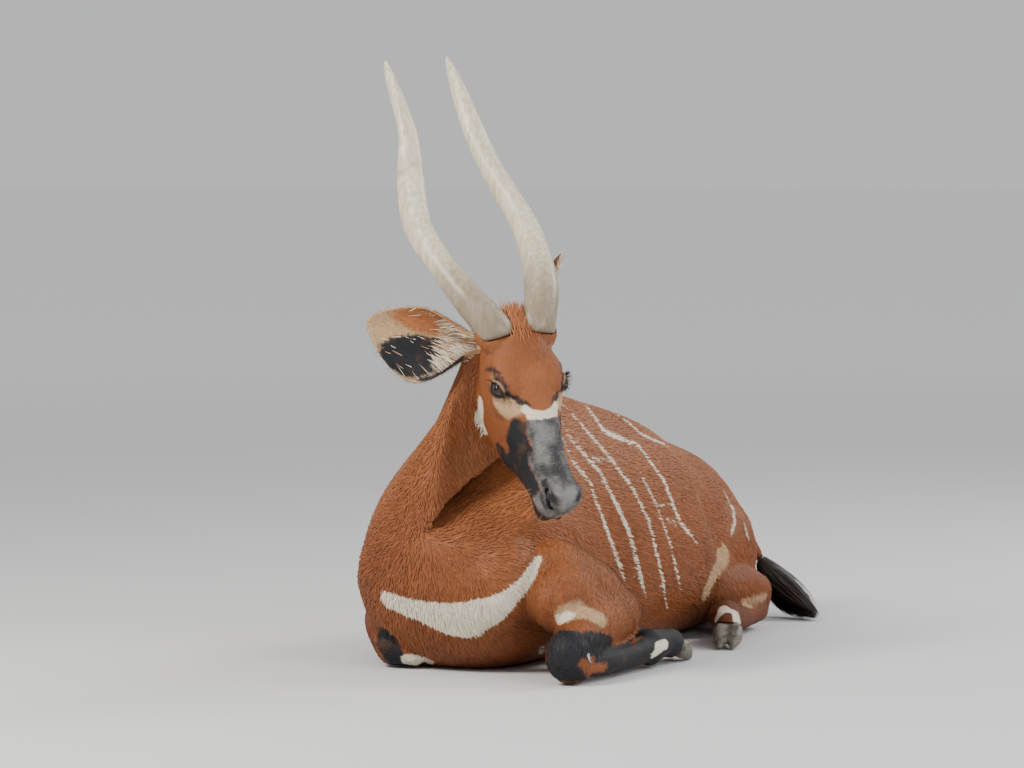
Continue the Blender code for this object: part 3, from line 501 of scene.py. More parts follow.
def horn_look():
    look = Look("bongo_horn", {"Specular IOR Level": 0.45})
    along = look.field("along")
    grain = look.noise(7.0, detail=5.0, where=look.stretched((18.0, 18.0, 2.0)))
    blotch = look.noise(9.0, detail=3.0)
    ivory = look.mix(look.step(grain, 0.3, 0.75), IVORY_DARK, IVORY)
    dusk = look.step(along + (blotch - 0.5) * 0.30, 0.34, 0.02)
    colour = look.mix(dusk * 0.8, ivory, HORN_DUSK)
    smoky = look.step(blotch, 0.56, 0.72) * look.step(along, 0.35, 0.75)
    colour = look.mix(smoky * 0.7, colour, HORN_SMOKE)
    look.colour(colour)
    look.rough(grain * 0.25 + 0.24)
    rings = look.noise(3.0, detail=4.0, where=look.stretched((5.0, 5.0, 18.0)))
    look.bump(rings * look.step(along, 0.55, 0.05) * 1.2 + grain * 0.8, 0.5, 0.0020)
    return look.material


def hoof_look():
    look = Look("bongo_hoof", {"Specular IOR Level": 0.45})
    streak = look.noise(30.0, detail=4.0, where=look.stretched((3.0, 1.0, 3.0)))
    look.colour(look.mix(look.step(streak, 0.3, 0.7), HOOF_DARK, HOOF_PALE))
    look.rough(streak * 0.3 + 0.30)
    look.bump(streak, 0.4, 0.0012)
    return look.material


def eye_look():
    wet = {"Roughness": 0.10, "Specular IOR Level": 0.35, "Coat Weight": 0.25, "Coat Roughness": 0.02}
    look = Look("bongo_eye", wet)
    ring = look.field("ring")
    fibre = look.noise(60.0, detail=3.0)
    iris = look.mix(fibre, IRIS_DARK, IRIS_BROWN)
    colour = look.mix(look.step(ring, 0.42, 0.36), iris, PUPIL)
    colour = look.mix(look.step(ring, 0.82, 0.95), colour, EYE_EDGE)
    look.colour(colour)
    return look.material


def tail_look():
    look = Look("bongo_tail_hair", {"Roughness": 0.42, "Specular IOR Level": 0.45})
    look.colour(look.mix(look.field("chance"), TAIL_BLACK, TAIL_BROWN))
    return look.material


# Skin

BODY_NODES = ["torso", "neck", "head", "tail"]
LEG_NODES = [
    limb + "_" + side
    for limb in ("foreleg_upper", "foreleg_lower", "hindleg_upper", "hindleg_lower")
    for side in ("left", "right")
]
EAR_NODES = ["ear_left", "ear_right"]


def build_skin():
    """One closed skin: the body's coarse, the head's fine, joined where the neck's coat is thick."""
    body = merged_copy("body_skin", BODY_NODES + LEG_NODES)
    with_modifier(body, "REMESH", mode="VOXEL", voxel_size=BODY_VOXEL)
    with_modifier(body, "SMOOTH", **SMOOTHING)
    head = merged_copy("head_skin", ["head", "neck", "eye_left", "eye_right"] + EAR_NODES)
    with_modifier(head, "REMESH", mode="VOXEL", voxel_size=HEAD_VOXEL)
    with_modifier(head, "SMOOTH", **SMOOTHING)
    set_places(head.data, sculpt_head(places_of(head.data), normals_of(head.data)))
    for piece, low, high in ((body, NECK_OVERLAP, 0.0), (head, 0.0, NECK_OVERLAP)):
        places = places_of(piece.data)
        height = (places - np.array(NECK_PLACE)) @ np.array(NECK_WAY)
        share = np.clip((height - high) / (low - high), 0.0, 1.0)
        share = np.where(np.abs(height - NECK_OVERLAP / 2) < NECK_OVERLAP, share, 0.0)
        set_places(piece.data, places - normals_of(piece.data) * (share * NECK_SINK)[:, None])
    keep_side(body, NECK_PLACE + NECK_WAY * NECK_OVERLAP, -NECK_WAY)
    keep_side(head, NECK_PLACE, NECK_WAY)
    for piece, count in ((body, BODY_TRIANGLES), (head, HEAD_TRIANGLES)):
        with_modifier(piece, "DECIMATE", ratio=count / (2.0 * len(piece.data.polygons)))
    union = body.modifiers.new("join", "BOOLEAN")
    union.operation = "UNION"
    union.solver = "MANIFOLD"
    union.object = head
    settled(body)
    bpy.data.objects.remove(head, do_unlink=True)
    body.name = "skin"
    shade_smooth(body.data)
    return body


# The eyeball in the head's axes, the almond between the lids as arcs on it, and the lids round it
EYE_CENTRE = np.array((0.0640, -0.121, -0.024))
EYE_LOOKS = np.array((0.83, -0.30, 0.47))
EYE_ALONG = np.array((-0.42, -0.90, 0.02))
EYE_RADIUS = 0.021
ALMOND_LENGTH = 0.0215
ALMOND_TOP = 0.0096
ALMOND_BOTTOM = 0.0096
LID_HEIGHT = 0.0021
LID_POWERS = (0.75, 0.85)
# How far outside the opening each form of the lids lies, its width and its height
LID_RIDGE = (0.0045, 0.0022, 0.0007)
LID_FOLD = (0.0098, 0.0014, 0.0022)
LID_BAG = (0.0090, 0.0016, 0.0010)
# From this far outside the opening the skin starts to follow the eyeball, and from this far it does so wholly
LID_REACH = (0.0160, 0.0075)
LID_FRONT = 0.1
EYE_NEAR = 0.05
EYE_SOCKET = 0.032
EYE_SINK = 0.004


def eye_axes(side):
    """The eye's centre and its own axes: towards the nose, up across the lids, and outwards."""
    mirror = np.array((side, 1.0, 1.0))
    looks = EYE_LOOKS * mirror
    looks = looks / np.linalg.norm(looks)
    along = EYE_ALONG * mirror
    along = along - looks * (along @ looks)
    along = along / np.linalg.norm(along)
    return EYE_CENTRE * mirror, along, np.cross(along, looks) * side, looks


def round_eye(local, side):
    """Each place as arcs on the eyeball, along the lids and across them, with its distance from the centre."""
    centre, along, up, looks = eye_axes(side)
    away = local - centre
    far = np.linalg.norm(away, axis=1)
    outward = away @ looks / far
    turn = np.arccos(np.clip(outward, -1.0, 1.0)) * EYE_RADIUS
    a, b = away @ along, away @ up
    flat = np.hypot(a, b) + TINY
    return turn * a / flat, turn * b / flat, far, outward


def lid_edges(a):
    """How far above and below the eye's long axis the lids' edges are."""
    share = np.clip(1.0 - (a / ALMOND_LENGTH) ** 2, 0.0, 1.0)
    return ALMOND_TOP * share ** LID_POWERS[0], ALMOND_BOTTOM * share ** LID_POWERS[1]


def in_almond(a, b):
    """How far inside the opening between the lids a place is, and above 0 there."""
    top, bottom = lid_edges(a)
    return np.minimum(np.minimum(top - b, b + bottom), (ALMOND_LENGTH - np.abs(a)) * 0.8)


def lid_form(inside, form):
    """The height of a ridge or a fold that follows the lids' edge."""
    outside, width, height = form
    return height * np.exp(-(((inside + outside) / width) ** 2))


def shape_lids(local, side):
    """Lays the skin over the eyeball as two lids with a fold above, and sinks it between them."""
    a, b, far, outward = round_eye(local, side)
    inside = in_almond(a, b)
    centre = eye_axes(side)[0]
    front = outward > LID_FRONT
    lid = EYE_RADIUS + LID_HEIGHT + lid_form(inside, LID_RIDGE)
    reach = step(-inside, *LID_REACH) * front
    radius = far * (1 - reach) + lid * reach
    folds = lid_form(inside, LID_FOLD) * step(b, 0.002, 0.006) + lid_form(inside, LID_BAG) * step(-b, 0.003, 0.007)
    radius = radius - folds * (far < EYE_NEAR) * front
    open_share = step(inside, -0.0004, 0.0009) * front * (far < EYE_SOCKET)
    radius = radius * (1 - open_share) + (EYE_RADIUS - EYE_SINK) * open_share
    radius = np.where((far < EYE_NEAR) & (outward > 0.0), radius, far)
    return centre + (local - centre) * (radius / far)[:, None]


# Strokes on one side of the head, in its axes: points, how far they push in, and how wide they are
HEAD_STROKES = [
    ([(0.0150, -0.389, -0.052), (0.0225, -0.383, -0.042), (0.0295, -0.371, -0.032), (0.032, -0.356, -0.027)],
     0.0135, 0.0074),
    ([(0.021, -0.392, -0.066), (0.033, -0.382, -0.054), (0.041, -0.366, -0.038)], -0.0022, 0.0040),
    ([(0.0, -0.398, -0.086), (0.014, -0.393, -0.088), (0.028, -0.377, -0.092), (0.037, -0.350, -0.096),
      (0.041, -0.318, -0.100), (0.042, -0.288, -0.106), (0.041, -0.268, -0.113)], 0.0048, 0.0022),
    ([(0.0, -0.397, -0.052), (0.0, -0.400, -0.078)], 0.0020, 0.0016),
    ([(0.062, -0.150, -0.022), (0.052, -0.170, -0.014), (0.040, -0.192, 0.000)], 0.0018, 0.0030),
    ([(0.081, -0.070, -0.038), (0.076, -0.082, -0.019), (0.071, -0.097, -0.002)], 0.0042, 0.0034),
    ([(0.030, -0.215, -0.012), (0.026, -0.260, -0.012), (0.026, -0.310, -0.016)], -0.0014, 0.0060),
    ([(0.040, -0.225, -0.040), (0.036, -0.280, -0.048), (0.036, -0.320, -0.056)], 0.0016, 0.0110),
    ([(0.052, -0.170, -0.060), (0.046, -0.230, -0.072), (0.040, -0.262, -0.088)], -0.0018, 0.0120),
    ([(0.074, -0.060, -0.070), (0.070, -0.100, -0.095), (0.060, -0.150, -0.110)], -0.0016, 0.0140),
]
STROKES_END = 0.05
WRINKLE_GAP = 0.0072
WRINKLE_DEPTH = 0.00055
# The wrinkles fade in and out between these distances in front of the horns, and above this height
WRINKLES_START = (0.215, 0.245)
WRINKLES_END = (0.350, 0.325)
WRINKLES_ABOVE = (-0.055, -0.030)


def sculpt_head(places, normals):
    """Finer strokes on the head: lids, tear line, nostrils, lips, cheeks, and wrinkles across the nose."""
    local = head_local(places)
    ways = normals @ HEAD_AXES.T
    mirrored = folded(local, 0.0)
    push = np.zeros(len(local))
    near = local[:, 1] < STROKES_END
    for line, depth, width in HEAD_STROKES:
        gap, _ = line_distance(mirrored[near], line)
        push[near] += depth * np.exp(-((gap / width) ** 2) ** 1.4)
    bridge = step(-local[:, 1], *WRINKLES_START) * step(-local[:, 1], *WRINKLES_END)
    bridge = bridge * step(local[:, 2], *WRINKLES_ABOVE)
    wobble = 0.0030 * np.sin(local[:, 0] * 210.0) + 0.0016 * np.sin(local[:, 0] * 531.0 + local[:, 1] * 60.0)
    ripple = np.sin((local[:, 1] - 0.35 * mirrored[:, 0] + wobble) * (2 * math.pi / WRINKLE_GAP))
    push += bridge * WRINKLE_DEPTH * ripple
    moved = local - ways * push[:, None]
    for side in SIDES.values():
        moved = np.where((local[:, 0] * side > 0)[:, None], shape_lids(moved, side), moved)
    return head_world(moved)


def nearest_distances(places, names, reach):
    """How far each place is from the nearest of some CAD nodes, up to a reach."""
    found = np.full(len(places), reach)
    for name in names:
        mesh = nodes[name].data
        points = shaped(name, places_of(mesh))
        tree = BVHTree.FromPolygons(points.tolist(), triangles_of(mesh).tolist())
        low, high = points.min(0) - reach, points.max(0) + reach
        near = np.nonzero(((places > low) & (places < high)).all(1))[0]
        for i in near:
            hit = tree.find_nearest(Vector(places[i]), reach)
            if hit[0] is not None and hit[3] < found[i]:
                found[i] = hit[3]
    return found


# Region: its nodes, the way its hair lies, the coat's depth
FORELEG_LIE = (0.25, -0.90, -0.35)
REGIONS = {
    "torso": (["torso"], (0.0, 0.90, -0.36), 0.0048),
    "neck": (["neck"], (-0.25, 0.62, -0.74), 0.0048),
    "head": (["head"], None, 0.0022),
    "ear_left": (["ear_left"], (-0.054, 0.771, 0.634), 0.0008),
    "ear_right": (["ear_right"], (-0.853, -0.492, 0.175), 0.0008),
    "fore_upper": (["foreleg_upper_left", "foreleg_upper_right"], FORELEG_LIE, 0.0035),
    "fore_lower": (["foreleg_lower_left", "foreleg_lower_right"], (0.0, 1.0, -0.12), 0.0020),
    "hind_upper": (["hindleg_upper_left", "hindleg_upper_right"], (0.0, 0.30, -0.92), 0.0035),
    "hind_lower": (["hindleg_lower_left", "hindleg_lower_right"], (0.25, -0.95, 0.0), 0.0020),
    "tail": (["tail"], (0.10, 0.15, -1.0), 0.0030),
}


REGION_REACH = 0.060
REGION_SOFT = 0.010


def region_weights(places):
    """How much each region counts at each place, smooth across their seams."""
    weights = {}
    for name, (names, _, _) in REGIONS.items():
        gap = nearest_distances(places, names, REGION_REACH)
        weights[name] = np.where(gap < REGION_REACH, np.exp(-gap / REGION_SOFT) + TINY, 0.0)
    total = sum(weights.values()) + TINY
    return {name: value / total for name, value in weights.items()}


def spread(values, edges, rounds):
    """Smooths values over a mesh's edges."""
    count = len(values)
    degree = np.bincount(edges.ravel(), minlength=count) + 1.0
    for _ in range(rounds):
        columns = []
        for column in values.T:
            total = np.bincount(edges[:, 0], weights=column[edges[:, 1]], minlength=count)
            total += np.bincount(edges[:, 1], weights=column[edges[:, 0]], minlength=count)
            columns.append((column + total) / degree)
        values = np.array(columns).T
    return values


def edges_of(mesh):
    ends = np.zeros(len(mesh.edges) * 2, np.int32)
    mesh.edges.foreach_get("vertices", ends)
    return ends.reshape(-1, 2)


HORN_ROOT = np.array((0.052, -0.005, -0.002))
HORN_ROOT_RADIUS = 0.038


def unit(ways):
    return ways / (np.linalg.norm(ways, axis=1)[:, None] + TINY)


def across(lies, ups):
    return unit(np.cross(lies, ups))


def tangent(ways, ups):
    """The ways laid along the skin."""
    return unit(ways - ups * (ways * ups).sum(1)[:, None])


def horn_gap(local, side):
    """How far each place is outside a horn's root."""
    away = local - HORN_ROOT * (side, 1.0, 1.0)
    return np.maximum(np.linalg.norm(away, axis=1) - HORN_ROOT_RADIUS, 0.0)


# The hair's way on the face's left side, and round a horn's root, in the head's axes
FACE_LIE = (0.25, 0.95, -0.35)
HORN_LIE = (0.30, 0.95, 0.10)
HORN_LIE_REACH = 0.016
HORN_LIE_WEIGHT = 2.0
LIE_PASSES = 3
LIE_SPREAD = 6


def hair_lie(places, normals, weights, edges):
    """The way the hair lies at each place, along the skin."""
    way = np.zeros((len(places), 3))
    for name, (_, lie, _) in REGIONS.items():
        if lie is not None:
            way += weights[name][:, None] * np.array(lie)
    local = head_local(places)
    face = np.tile(FACE_LIE, (len(places), 1))
    face[:, 0] *= np.sign(local[:, 0])
    way += weights["head"][:, None] * (face @ HEAD_AXES)
    for side in SIDES.values():
        up = np.array(HORN_LIE) * (side, 1.0, 1.0) @ HEAD_AXES
        near = np.exp(-((horn_gap(local, side) / HORN_LIE_REACH) ** 2))
        way += near[:, None] * up * HORN_LIE_WEIGHT
    for _ in range(LIE_PASSES):
        way = spread(tangent(way, normals), edges, LIE_SPREAD)
    return tangent(way, normals)


# Marks, as points of the photograph that are traced onto the skin and mirrored to its other side

# Each flank stripe from the back down: pixels, then half its width in metres
FLANK_STRIPES = [
    ([(560, 515), (583, 545), (605, 578)], 0.0040),
    ([(573, 460), (590, 480), (612, 540), (624, 574), (635, 605)], 0.0046),
    ([(573, 440), (600, 470), (618, 504), (630, 530), (648, 600)], 0.0050),
    ([(570, 410), (590, 432), (612, 458), (634, 488), (650, 520), (664, 580), (668, 610)], 0.0044),
    ([(640, 470), (656, 500), (672, 545), (682, 590)], 0.0034),
    ([(585, 402), (605, 430), (640, 445), (665, 480), (680, 520), (700, 545)], 0.0056),
    ([(627, 420), (643, 434), (682, 450), (697, 462), (712, 487), (722, 512)], 0.0048),
    ([(723, 486), (734, 510), (736, 521), (732, 536)], 0.0040),
    ([(745, 523), (750, 540)], 0.0038),
]
# Behind the shoulder the stripes begin. One that starts high is led on to the spine, with a slant
STRIPE_START = 0.235 + SHIFT.y
STRIPE_HIGH = 0.14
STRIPE_TOP = 0.0132
STRIPE_SLANT = 0.25
# A stripe's share at its top and its bottom that narrows, and its width at each end as a share of the whole
STRIPE_ENDS = ((0.0, 0.08, 0.35), (1.0, 0.86, 0.25))
TRUNK_GIRTH = 0.22
# The white crescent across the breast: pixels and half its height in pixels
CRESCENT = [
    (384, 599, 8), (400, 606, 10), (420, 612, 12), (450, 621, 19), (468, 622, 21),
    (490, 613, 17), (512, 598, 10), (528, 578, 6), (538, 558, 4),
]
METRES_PER_PIXEL = 0.00204
SPINE_X = 0.010 + SHIFT.x
LIMB_MIDDLE_X = 0.028 + SHIFT.x
TRUNK_HEIGHT = 0.20

# Marks of the face, the neck's front and the limbs: kind, pixels, half the width in metres
FACE_MARKS = [
    ("white_mark", [(525, 409), (530, 413), (541, 415), (556, 412)], 0.0088),
    ("nostril", [(544, 483), (547, 489), (551, 496), (556, 502)], 0.0074),
    ("dark_mark", [(485, 370), (491, 369), (499, 373)], 0.0034),
    # The next two white lines along the jaw's lower edge are painted highlight: the lit rim of the jaw against the
    # neck's shade
    ("white_mark", [(480, 402), (480, 420), (484, 436), (488, 449)], 0.0120),
    ("white_mark", [(489, 455), (493, 466), (499, 478)], 0.0110),
    ("tan_mark", [(534, 502), (545, 509), (560, 513), (572, 510)], 0.0040),
    ("tan_mark", [(499, 402), (506, 411), (516, 408)], 0.0165),
    ("dark_mark", [(506, 394), (517, 400), (527, 405)], 0.0060),
    ("dark_mark", [(517, 430), (512, 446), (518, 462), (526, 478)], 0.0240),
    ("dark_mark", [(500, 452), (508, 470), (520, 488)], 0.0200),
    ("dark_mark", [(524, 430), (534, 455), (538, 482)], 0.0170),
    # The grey marks on the nose's bridge are partly its bare dark skin and partly painted sheen, where light glances
    # off its top
    ("grey_and_sheen_mark", [(543, 430), (549, 448), (556, 468), (564, 490)], 0.0360),
    ("grey_and_sheen_mark", [(532, 462), (545, 480), (555, 500)], 0.0200),
]
LIMB_MARKS = [
    ("dark_mark", [(562, 655), (578, 660)], 0.0640),
    ("dark_mark", [(592, 642), (612, 650)], 0.0260),
    ("tan_mark", [(566, 616), (582, 610), (600, 617)], 0.0230),
    ("white_mark", [(560, 620), (570, 616)], 0.0120),
    ("white_mark", [(543, 648), (542, 660), (546, 672)], 0.0075),
    ("white_mark", [(653, 656), (661, 650)], 0.0085),
    ("white_mark", [(659, 647), (667, 644)], 0.0120),
    ("white_mark", [(590, 655), (592, 661)], 0.0045),
    ("dark_mark", [(383, 640), (392, 655), (400, 668)], 0.0260),
    ("white_mark", [(408, 662), (427, 663)], 0.0170),
    ("tan_mark", [(724, 550), (718, 570), (708, 592)], 0.0230),
    ("tan_mark", [(745, 604), (766, 598)], 0.0110),
    ("white_mark", [(716, 618), (723, 608), (736, 612), (738, 620)], 0.0120),
    ("dark_mark", [(712, 632), (724, 630), (738, 636)], 0.0200),
]
# Where brown breaks through the dark of a foreleg
BROWN_MARKS = [([(584, 664), (590, 670), (606, 668)], 0.0120), ([(632, 642), (640, 636)], 0.0060)]


def seen(skin_tree, x, y):
    """The place on the skin that shows at a pixel of the photograph."""
    camera = bpy.context.scene.camera.matrix_world
    ray = Vector(((x - PHOTO_WIDTH / 2) / FOCAL_PIXELS, (PHOTO_HEIGHT / 2 - y) / FOCAL_PIXELS, -1.0))
    way = (camera.to_3x3() @ ray).normalized()
    hit = skin_tree.ray_cast(camera.translation, way)
    return None if hit[0] is None else np.array(hit[0])


TRACE_PIXELS = 5.0
MOST_JUMP = 0.06


def traced(skin_tree, pixels):
    """A line of pixels laid on the skin, with points between them, up to where it jumps to something behind."""
    pixels = np.array(pixels, float)
    spots = []
    for first, second in zip(pixels[:-1], pixels[1:]):
        pieces = max(2, int(np.linalg.norm(second - first) / TRACE_PIXELS))
        spots += [first + (second - first) * i / pieces for i in range(pieces)]
    points = []
    for x, y in spots + [pixels[-1]]:
        point = seen(skin_tree, x, y)
        if point is not None and (not points or np.linalg.norm(point - points[-1]) < MOST_JUMP):
            points.append(point)
    return np.array(points)


def round_trunk(places):
    """How far along and how far round the trunk each place is: Y, and the angle from the spine down either flank."""
    across = np.abs(places[:, 0] - SPINE_X)
    return np.column_stack([places[:, 1], np.arctan2(across, places[:, 2] - TRUNK_HEIGHT) * TRUNK_GIRTH])


# The part of the head's own axes that holds the face: the most across, then back and up
FACE_BOX = (0.11, (-0.43, 0.08), -0.19)


def trace_marks(skin_tree):
    """Every mark's line, traced once onto the skin: kind, its axes, its points and half its width."""
    lines = []
    for pixels, half in FLANK_STRIPES:
        line = round_trunk(traced(skin_tree, pixels))
        if line[0, 1] < STRIPE_HIGH:
            top = (line[0, 0] + STRIPE_SLANT * (line[0, 1] - STRIPE_TOP), STRIPE_TOP)
            line = np.vstack([top, line])
        lines.append(("stripe", "trunk", line, half))
    breast = [(seen(skin_tree, x, y), half) for x, y, half in CRESCENT]
    breast = [(point, half * METRES_PER_PIXEL) for point, half in breast if point is not None]
    lines.append(("white_mark", "breast", np.array([point for point, _ in breast]), [half for _, half in breast]))
    for kind, pixels, half in FACE_MARKS:
        local = folded(head_local(traced(skin_tree, pixels)), 0.0)
        wide, (front, back), low = FACE_BOX
        on_head = (local[:, 0] < wide) & (local[:, 1] > front) & (local[:, 1] < back) & (local[:, 2] > low)
        if on_head.sum() > 1:
            lines.append((kind, "head", local[on_head], half))
    for kind, pixels, half in LIMB_MARKS + [("brown", *mark) for mark in BROWN_MARKS]:
        line = traced(skin_tree, pixels)
        if len(line) > 1:
            lines.append((kind, "limb", folded(line, LIMB_MIDDLE_X), half))
    return lines


# What a mark's field holds where the mark is absent, and well inside it
UNMARKED = 0.05
MARKED = -0.01
# How far outside the opening the lid's dark rim ends, and the middle and half the width of the painted shade in its
# fold and of its pale lid
RIM_EDGE = 0.0026
FOLD_SHADE_BAND = (0.0105, 0.0026)
LID_BAND = (0.0056, 0.0030)
LIDS_NEAR = 0.04


def lid_marks(local, fields):
    """Pale lids with painted shade in the fold above them and a dark rim."""
    for side in SIDES.values():
        a, b, far, outward = round_eye(local, side)
        near = (far < LIDS_NEAR) & (outward > 0.0) & (local[:, 0] * side > 0)
        inside = in_almond(a, b)
        rim = np.where(near, -inside - RIM_EDGE, UNMARKED)
        # The fold's band is painted shade in the crease above the upper lid
        fold, lid = (
            np.where(near & (b > above), np.abs(inside + middle) - half, UNMARKED)
            for above, (middle, half) in ((0.002, FOLD_SHADE_BAND), (0.001, LID_BAND))
        )
        fields["dark_mark"] = np.minimum(fields["dark_mark"], np.minimum(rim, fold))
        fields["tan_mark"] = np.where(near, np.minimum(fields["tan_mark"], lid), fields["tan_mark"])


# An ear's root, the way to its tip and the way that its cup faces, before the part's shift
EARS = {
    "left": ((0.195, 0.090, 0.705), (-0.054, 0.771, 0.634), (0.879, 0.38, -0.295), -1.0),
    "right": ((0.126, -0.023, 0.690), (-0.853, -0.492, 0.175), (0.50, -0.866, -0.02), 1.0),
}


def ear_axes(side):
    root, along, cup, upper = EARS[side]
    along = np.array(Vector(along).normalized())
    cup = np.array(cup) - along * (np.array(cup) @ along)
    cup = cup / np.linalg.norm(cup)
    return np.array(root) + np.array(SHIFT), along, np.cross(along, cup) * upper, cup


# Patches inside an ear, along it and across it towards its upper edge: middle, then half sizes
EAR_RED = ((0.118, 0.024), (0.068, 0.026))
EAR_DARK = ((0.108, -0.052), (0.094, 0.045))
EAR_RED_TONE = 0.85
EAR_TIP = 0.20
EAR_TIP_EDGE = 0.004


def ear_marks(places, normals, weights, fields):
    """Inside each cup: cream, with a red hollow above and a dark one below. Outside: brown with a dark edge."""
    for side in SIDES:
        root, along, upper, cup = ear_axes(side)
        on_ear = weights["ear_" + side] > 0.45
        away = places - root
        spot = np.column_stack([away @ along, away @ upper])
        inner = on_ear & (normals @ cup > 0.05)
        red = ball_field(spot, *EAR_RED)
        dark = ball_field(spot, *EAR_DARK)
        tan = np.where(inner, -np.minimum(red, 0.02), UNMARKED)
        fields["tan_mark"] = np.where(on_ear, tan, fields["tan_mark"])
        edge = np.where(spot[:, 0] > EAR_TIP, EAR_TIP_EDGE, UNMARKED)
        fields["dark_mark"] = np.where(on_ear, np.where(inner, dark, edge), fields["dark_mark"])
        fields["white_mark"] = np.where(on_ear, UNMARKED, fields["white_mark"])
        fields["tone"] = np.where(inner & (red < 0.0), EAR_RED_TONE, fields["tone"])


def ball_field(places, centre, radii):
    """About the signed distance to an ellipse or ellipsoid."""
    scaled = (places - np.array(centre)) / np.array(radii)
    return (np.linalg.norm(scaled, axis=1) - 1.0) * min(radii)


MARK_KINDS = ("white_mark", "dark_mark", "grey_and_sheen_mark", "tan_mark")
LEG_REGIONS = ("fore_upper", "fore_lower", "hind_upper", "hind_lower")
LIMB_HEIGHT = 0.20
# In the head's axes: how far forward the grey nose starts and its lowest height, and where the dark cheek starts
NOSE_START = 0.345
NOSE_LOWEST = 0.088
DARK_START = 0.218
CHIN = ((0.0, -0.345, -0.125), (0.034, 0.052, 0.020))
BROW = ((0.0, -0.150, 0.015), (0.040, 0.070, 0.040))
BROW_EDGE = (-0.020, 0.020)
# The coat's tone, and what the height, the head, the hind cannons, the shoulder and the brow add to it. The height's
# share is partly painted light, with the coat paler above where light falls and painted shade low down, and partly
# the coat's own darker chest. The shoulder's share is painted light on the left shoulder alone
TONE = 0.42
LIGHT_AND_TONE_ABOVE = 0.22
TONE_HEIGHTS = (0.12, 0.50)
TONE_HEAD = 0.14
TONE_HIND = 0.22
SHOULDER_PAINTED_LIGHT = 0.16
TONE_BROW = 0.16
SHOULDER_Y = 0.15 + SHIFT.y
SHOULDER_REACH = 0.14
SHOULDER_SIDE = (0.05, 0.22)


def marks(places, normals, weights, lines):
    """The coat's marks as signed distances in metres, negative inside, and its tone from dark to light."""
    count = len(places)
    local = head_local(places)
    face = folded(local, 0.0)
    on_head = weights["head"] > 0.5
    on_trunk = (weights["torso"] + weights["hind_upper"] > 0.5) & (places[:, 1] > STRIPE_START)
    on_leg = sum(weights[name] for name in LEG_REGIONS)
    where = {
        "trunk": (round_trunk(places), on_trunk),
        "breast": (places, weights["torso"] + weights["neck"] + weights["fore_upper"] > 0.4),
        "head": (face, weights["head"] > 0.35),
        "limb": (folded(places, LIMB_MIDDLE_X), (on_leg > 0.3) | (places[:, 2] < LIMB_HEIGHT)),
    }
    fields = {name: np.full(count, UNMARKED) for name in (*MARK_KINDS, "nostril", "brown")}
    fields["dark_mark"] = np.where(weights["fore_lower"] > 0.5, -0.02, UNMARKED)
    for kind, axes, line, half in lines:
        spots, wanted = where[axes]
        low, high = line.min(0) - UNMARKED, line.max(0) + UNMARKED
        wanted = np.nonzero(wanted & ((spots > low) & (spots < high)).all(1))[0]
        if len(wanted) == 0:
            continue
        gap, share = line_distance(spots[wanted], line)
        if axes == "breast":
            half = np.interp(share, np.linspace(0, 1, len(half)), half)
        if kind == "stripe":
            for end, whole, least in STRIPE_ENDS:
                half = half * (least + (1.0 - least) * step(share, end, whole))
            kind = "white_mark"
        fields[kind][wanted] = np.minimum(fields[kind][wanted], gap - half)
    dark = np.maximum(fields["dark_mark"], -fields.pop("brown"))
    # The grey nose: partly the bare skin's own colour, partly painted sheen
    nose = np.where(on_head, np.maximum(face[:, 1] + NOSE_START, -NOSE_LOWEST - face[:, 2]), UNMARKED)
    grey = np.minimum(fields["grey_and_sheen_mark"], nose)
    cheek = np.where(on_head, face[:, 1] + DARK_START, UNMARKED)
    chin = np.where(on_head, ball_field(face, *CHIN), np.inf)
    fields["grey_and_sheen_mark"] = grey
    fields["dark_mark"] = np.minimum(np.maximum(np.minimum(dark, cheek), -grey), fields.pop("nostril"))
    fields["white_mark"] = np.minimum(fields["white_mark"], chin)
    # Painted light: the left shoulder alone is made paler, where light falls on it
    shoulder = np.exp(-(((places[:, 1] - SHOULDER_Y) / SHOULDER_REACH) ** 2)) * step(places[:, 0], *SHOULDER_SIDE)
    brow = weights["head"] * step(-ball_field(face, *BROW), *BROW_EDGE)
    # Paler higher up: partly painted light from above and painted shade low down, partly the coat's own darker chest
    # and lower neck
    tone = TONE + LIGHT_AND_TONE_ABOVE * step(places[:, 2], *TONE_HEIGHTS)
    tone -= TONE_HEAD * weights["head"] + TONE_HIND * weights["hind_lower"]
    fields["tone"] = tone + SHOULDER_PAINTED_LIGHT * shoulder + TONE_BROW * brow
    lid_marks(local, fields)
    ear_marks(places, normals, weights, fields)
    return fields


def carry(mesh, name, values):
    """Stores a number at each point of a mesh."""
    layer = mesh.attributes.get(name) or mesh.attributes.new(name, "FLOAT", "POINT")
    layer.data.foreach_set("value", np.asarray(values, np.float32))


# Coat

# The side of each tuft's patch on the unwrapped skin, and half its width as a share of that
TUFT_PATCH = 0.003
PATCH_HALF = 0.4
FLAT_TRIANGLES = 16000
FLAT_ANGLE = math.radians(66.0)
FLAT_MARGIN = 0.002
TINY_AREA = 1e-12


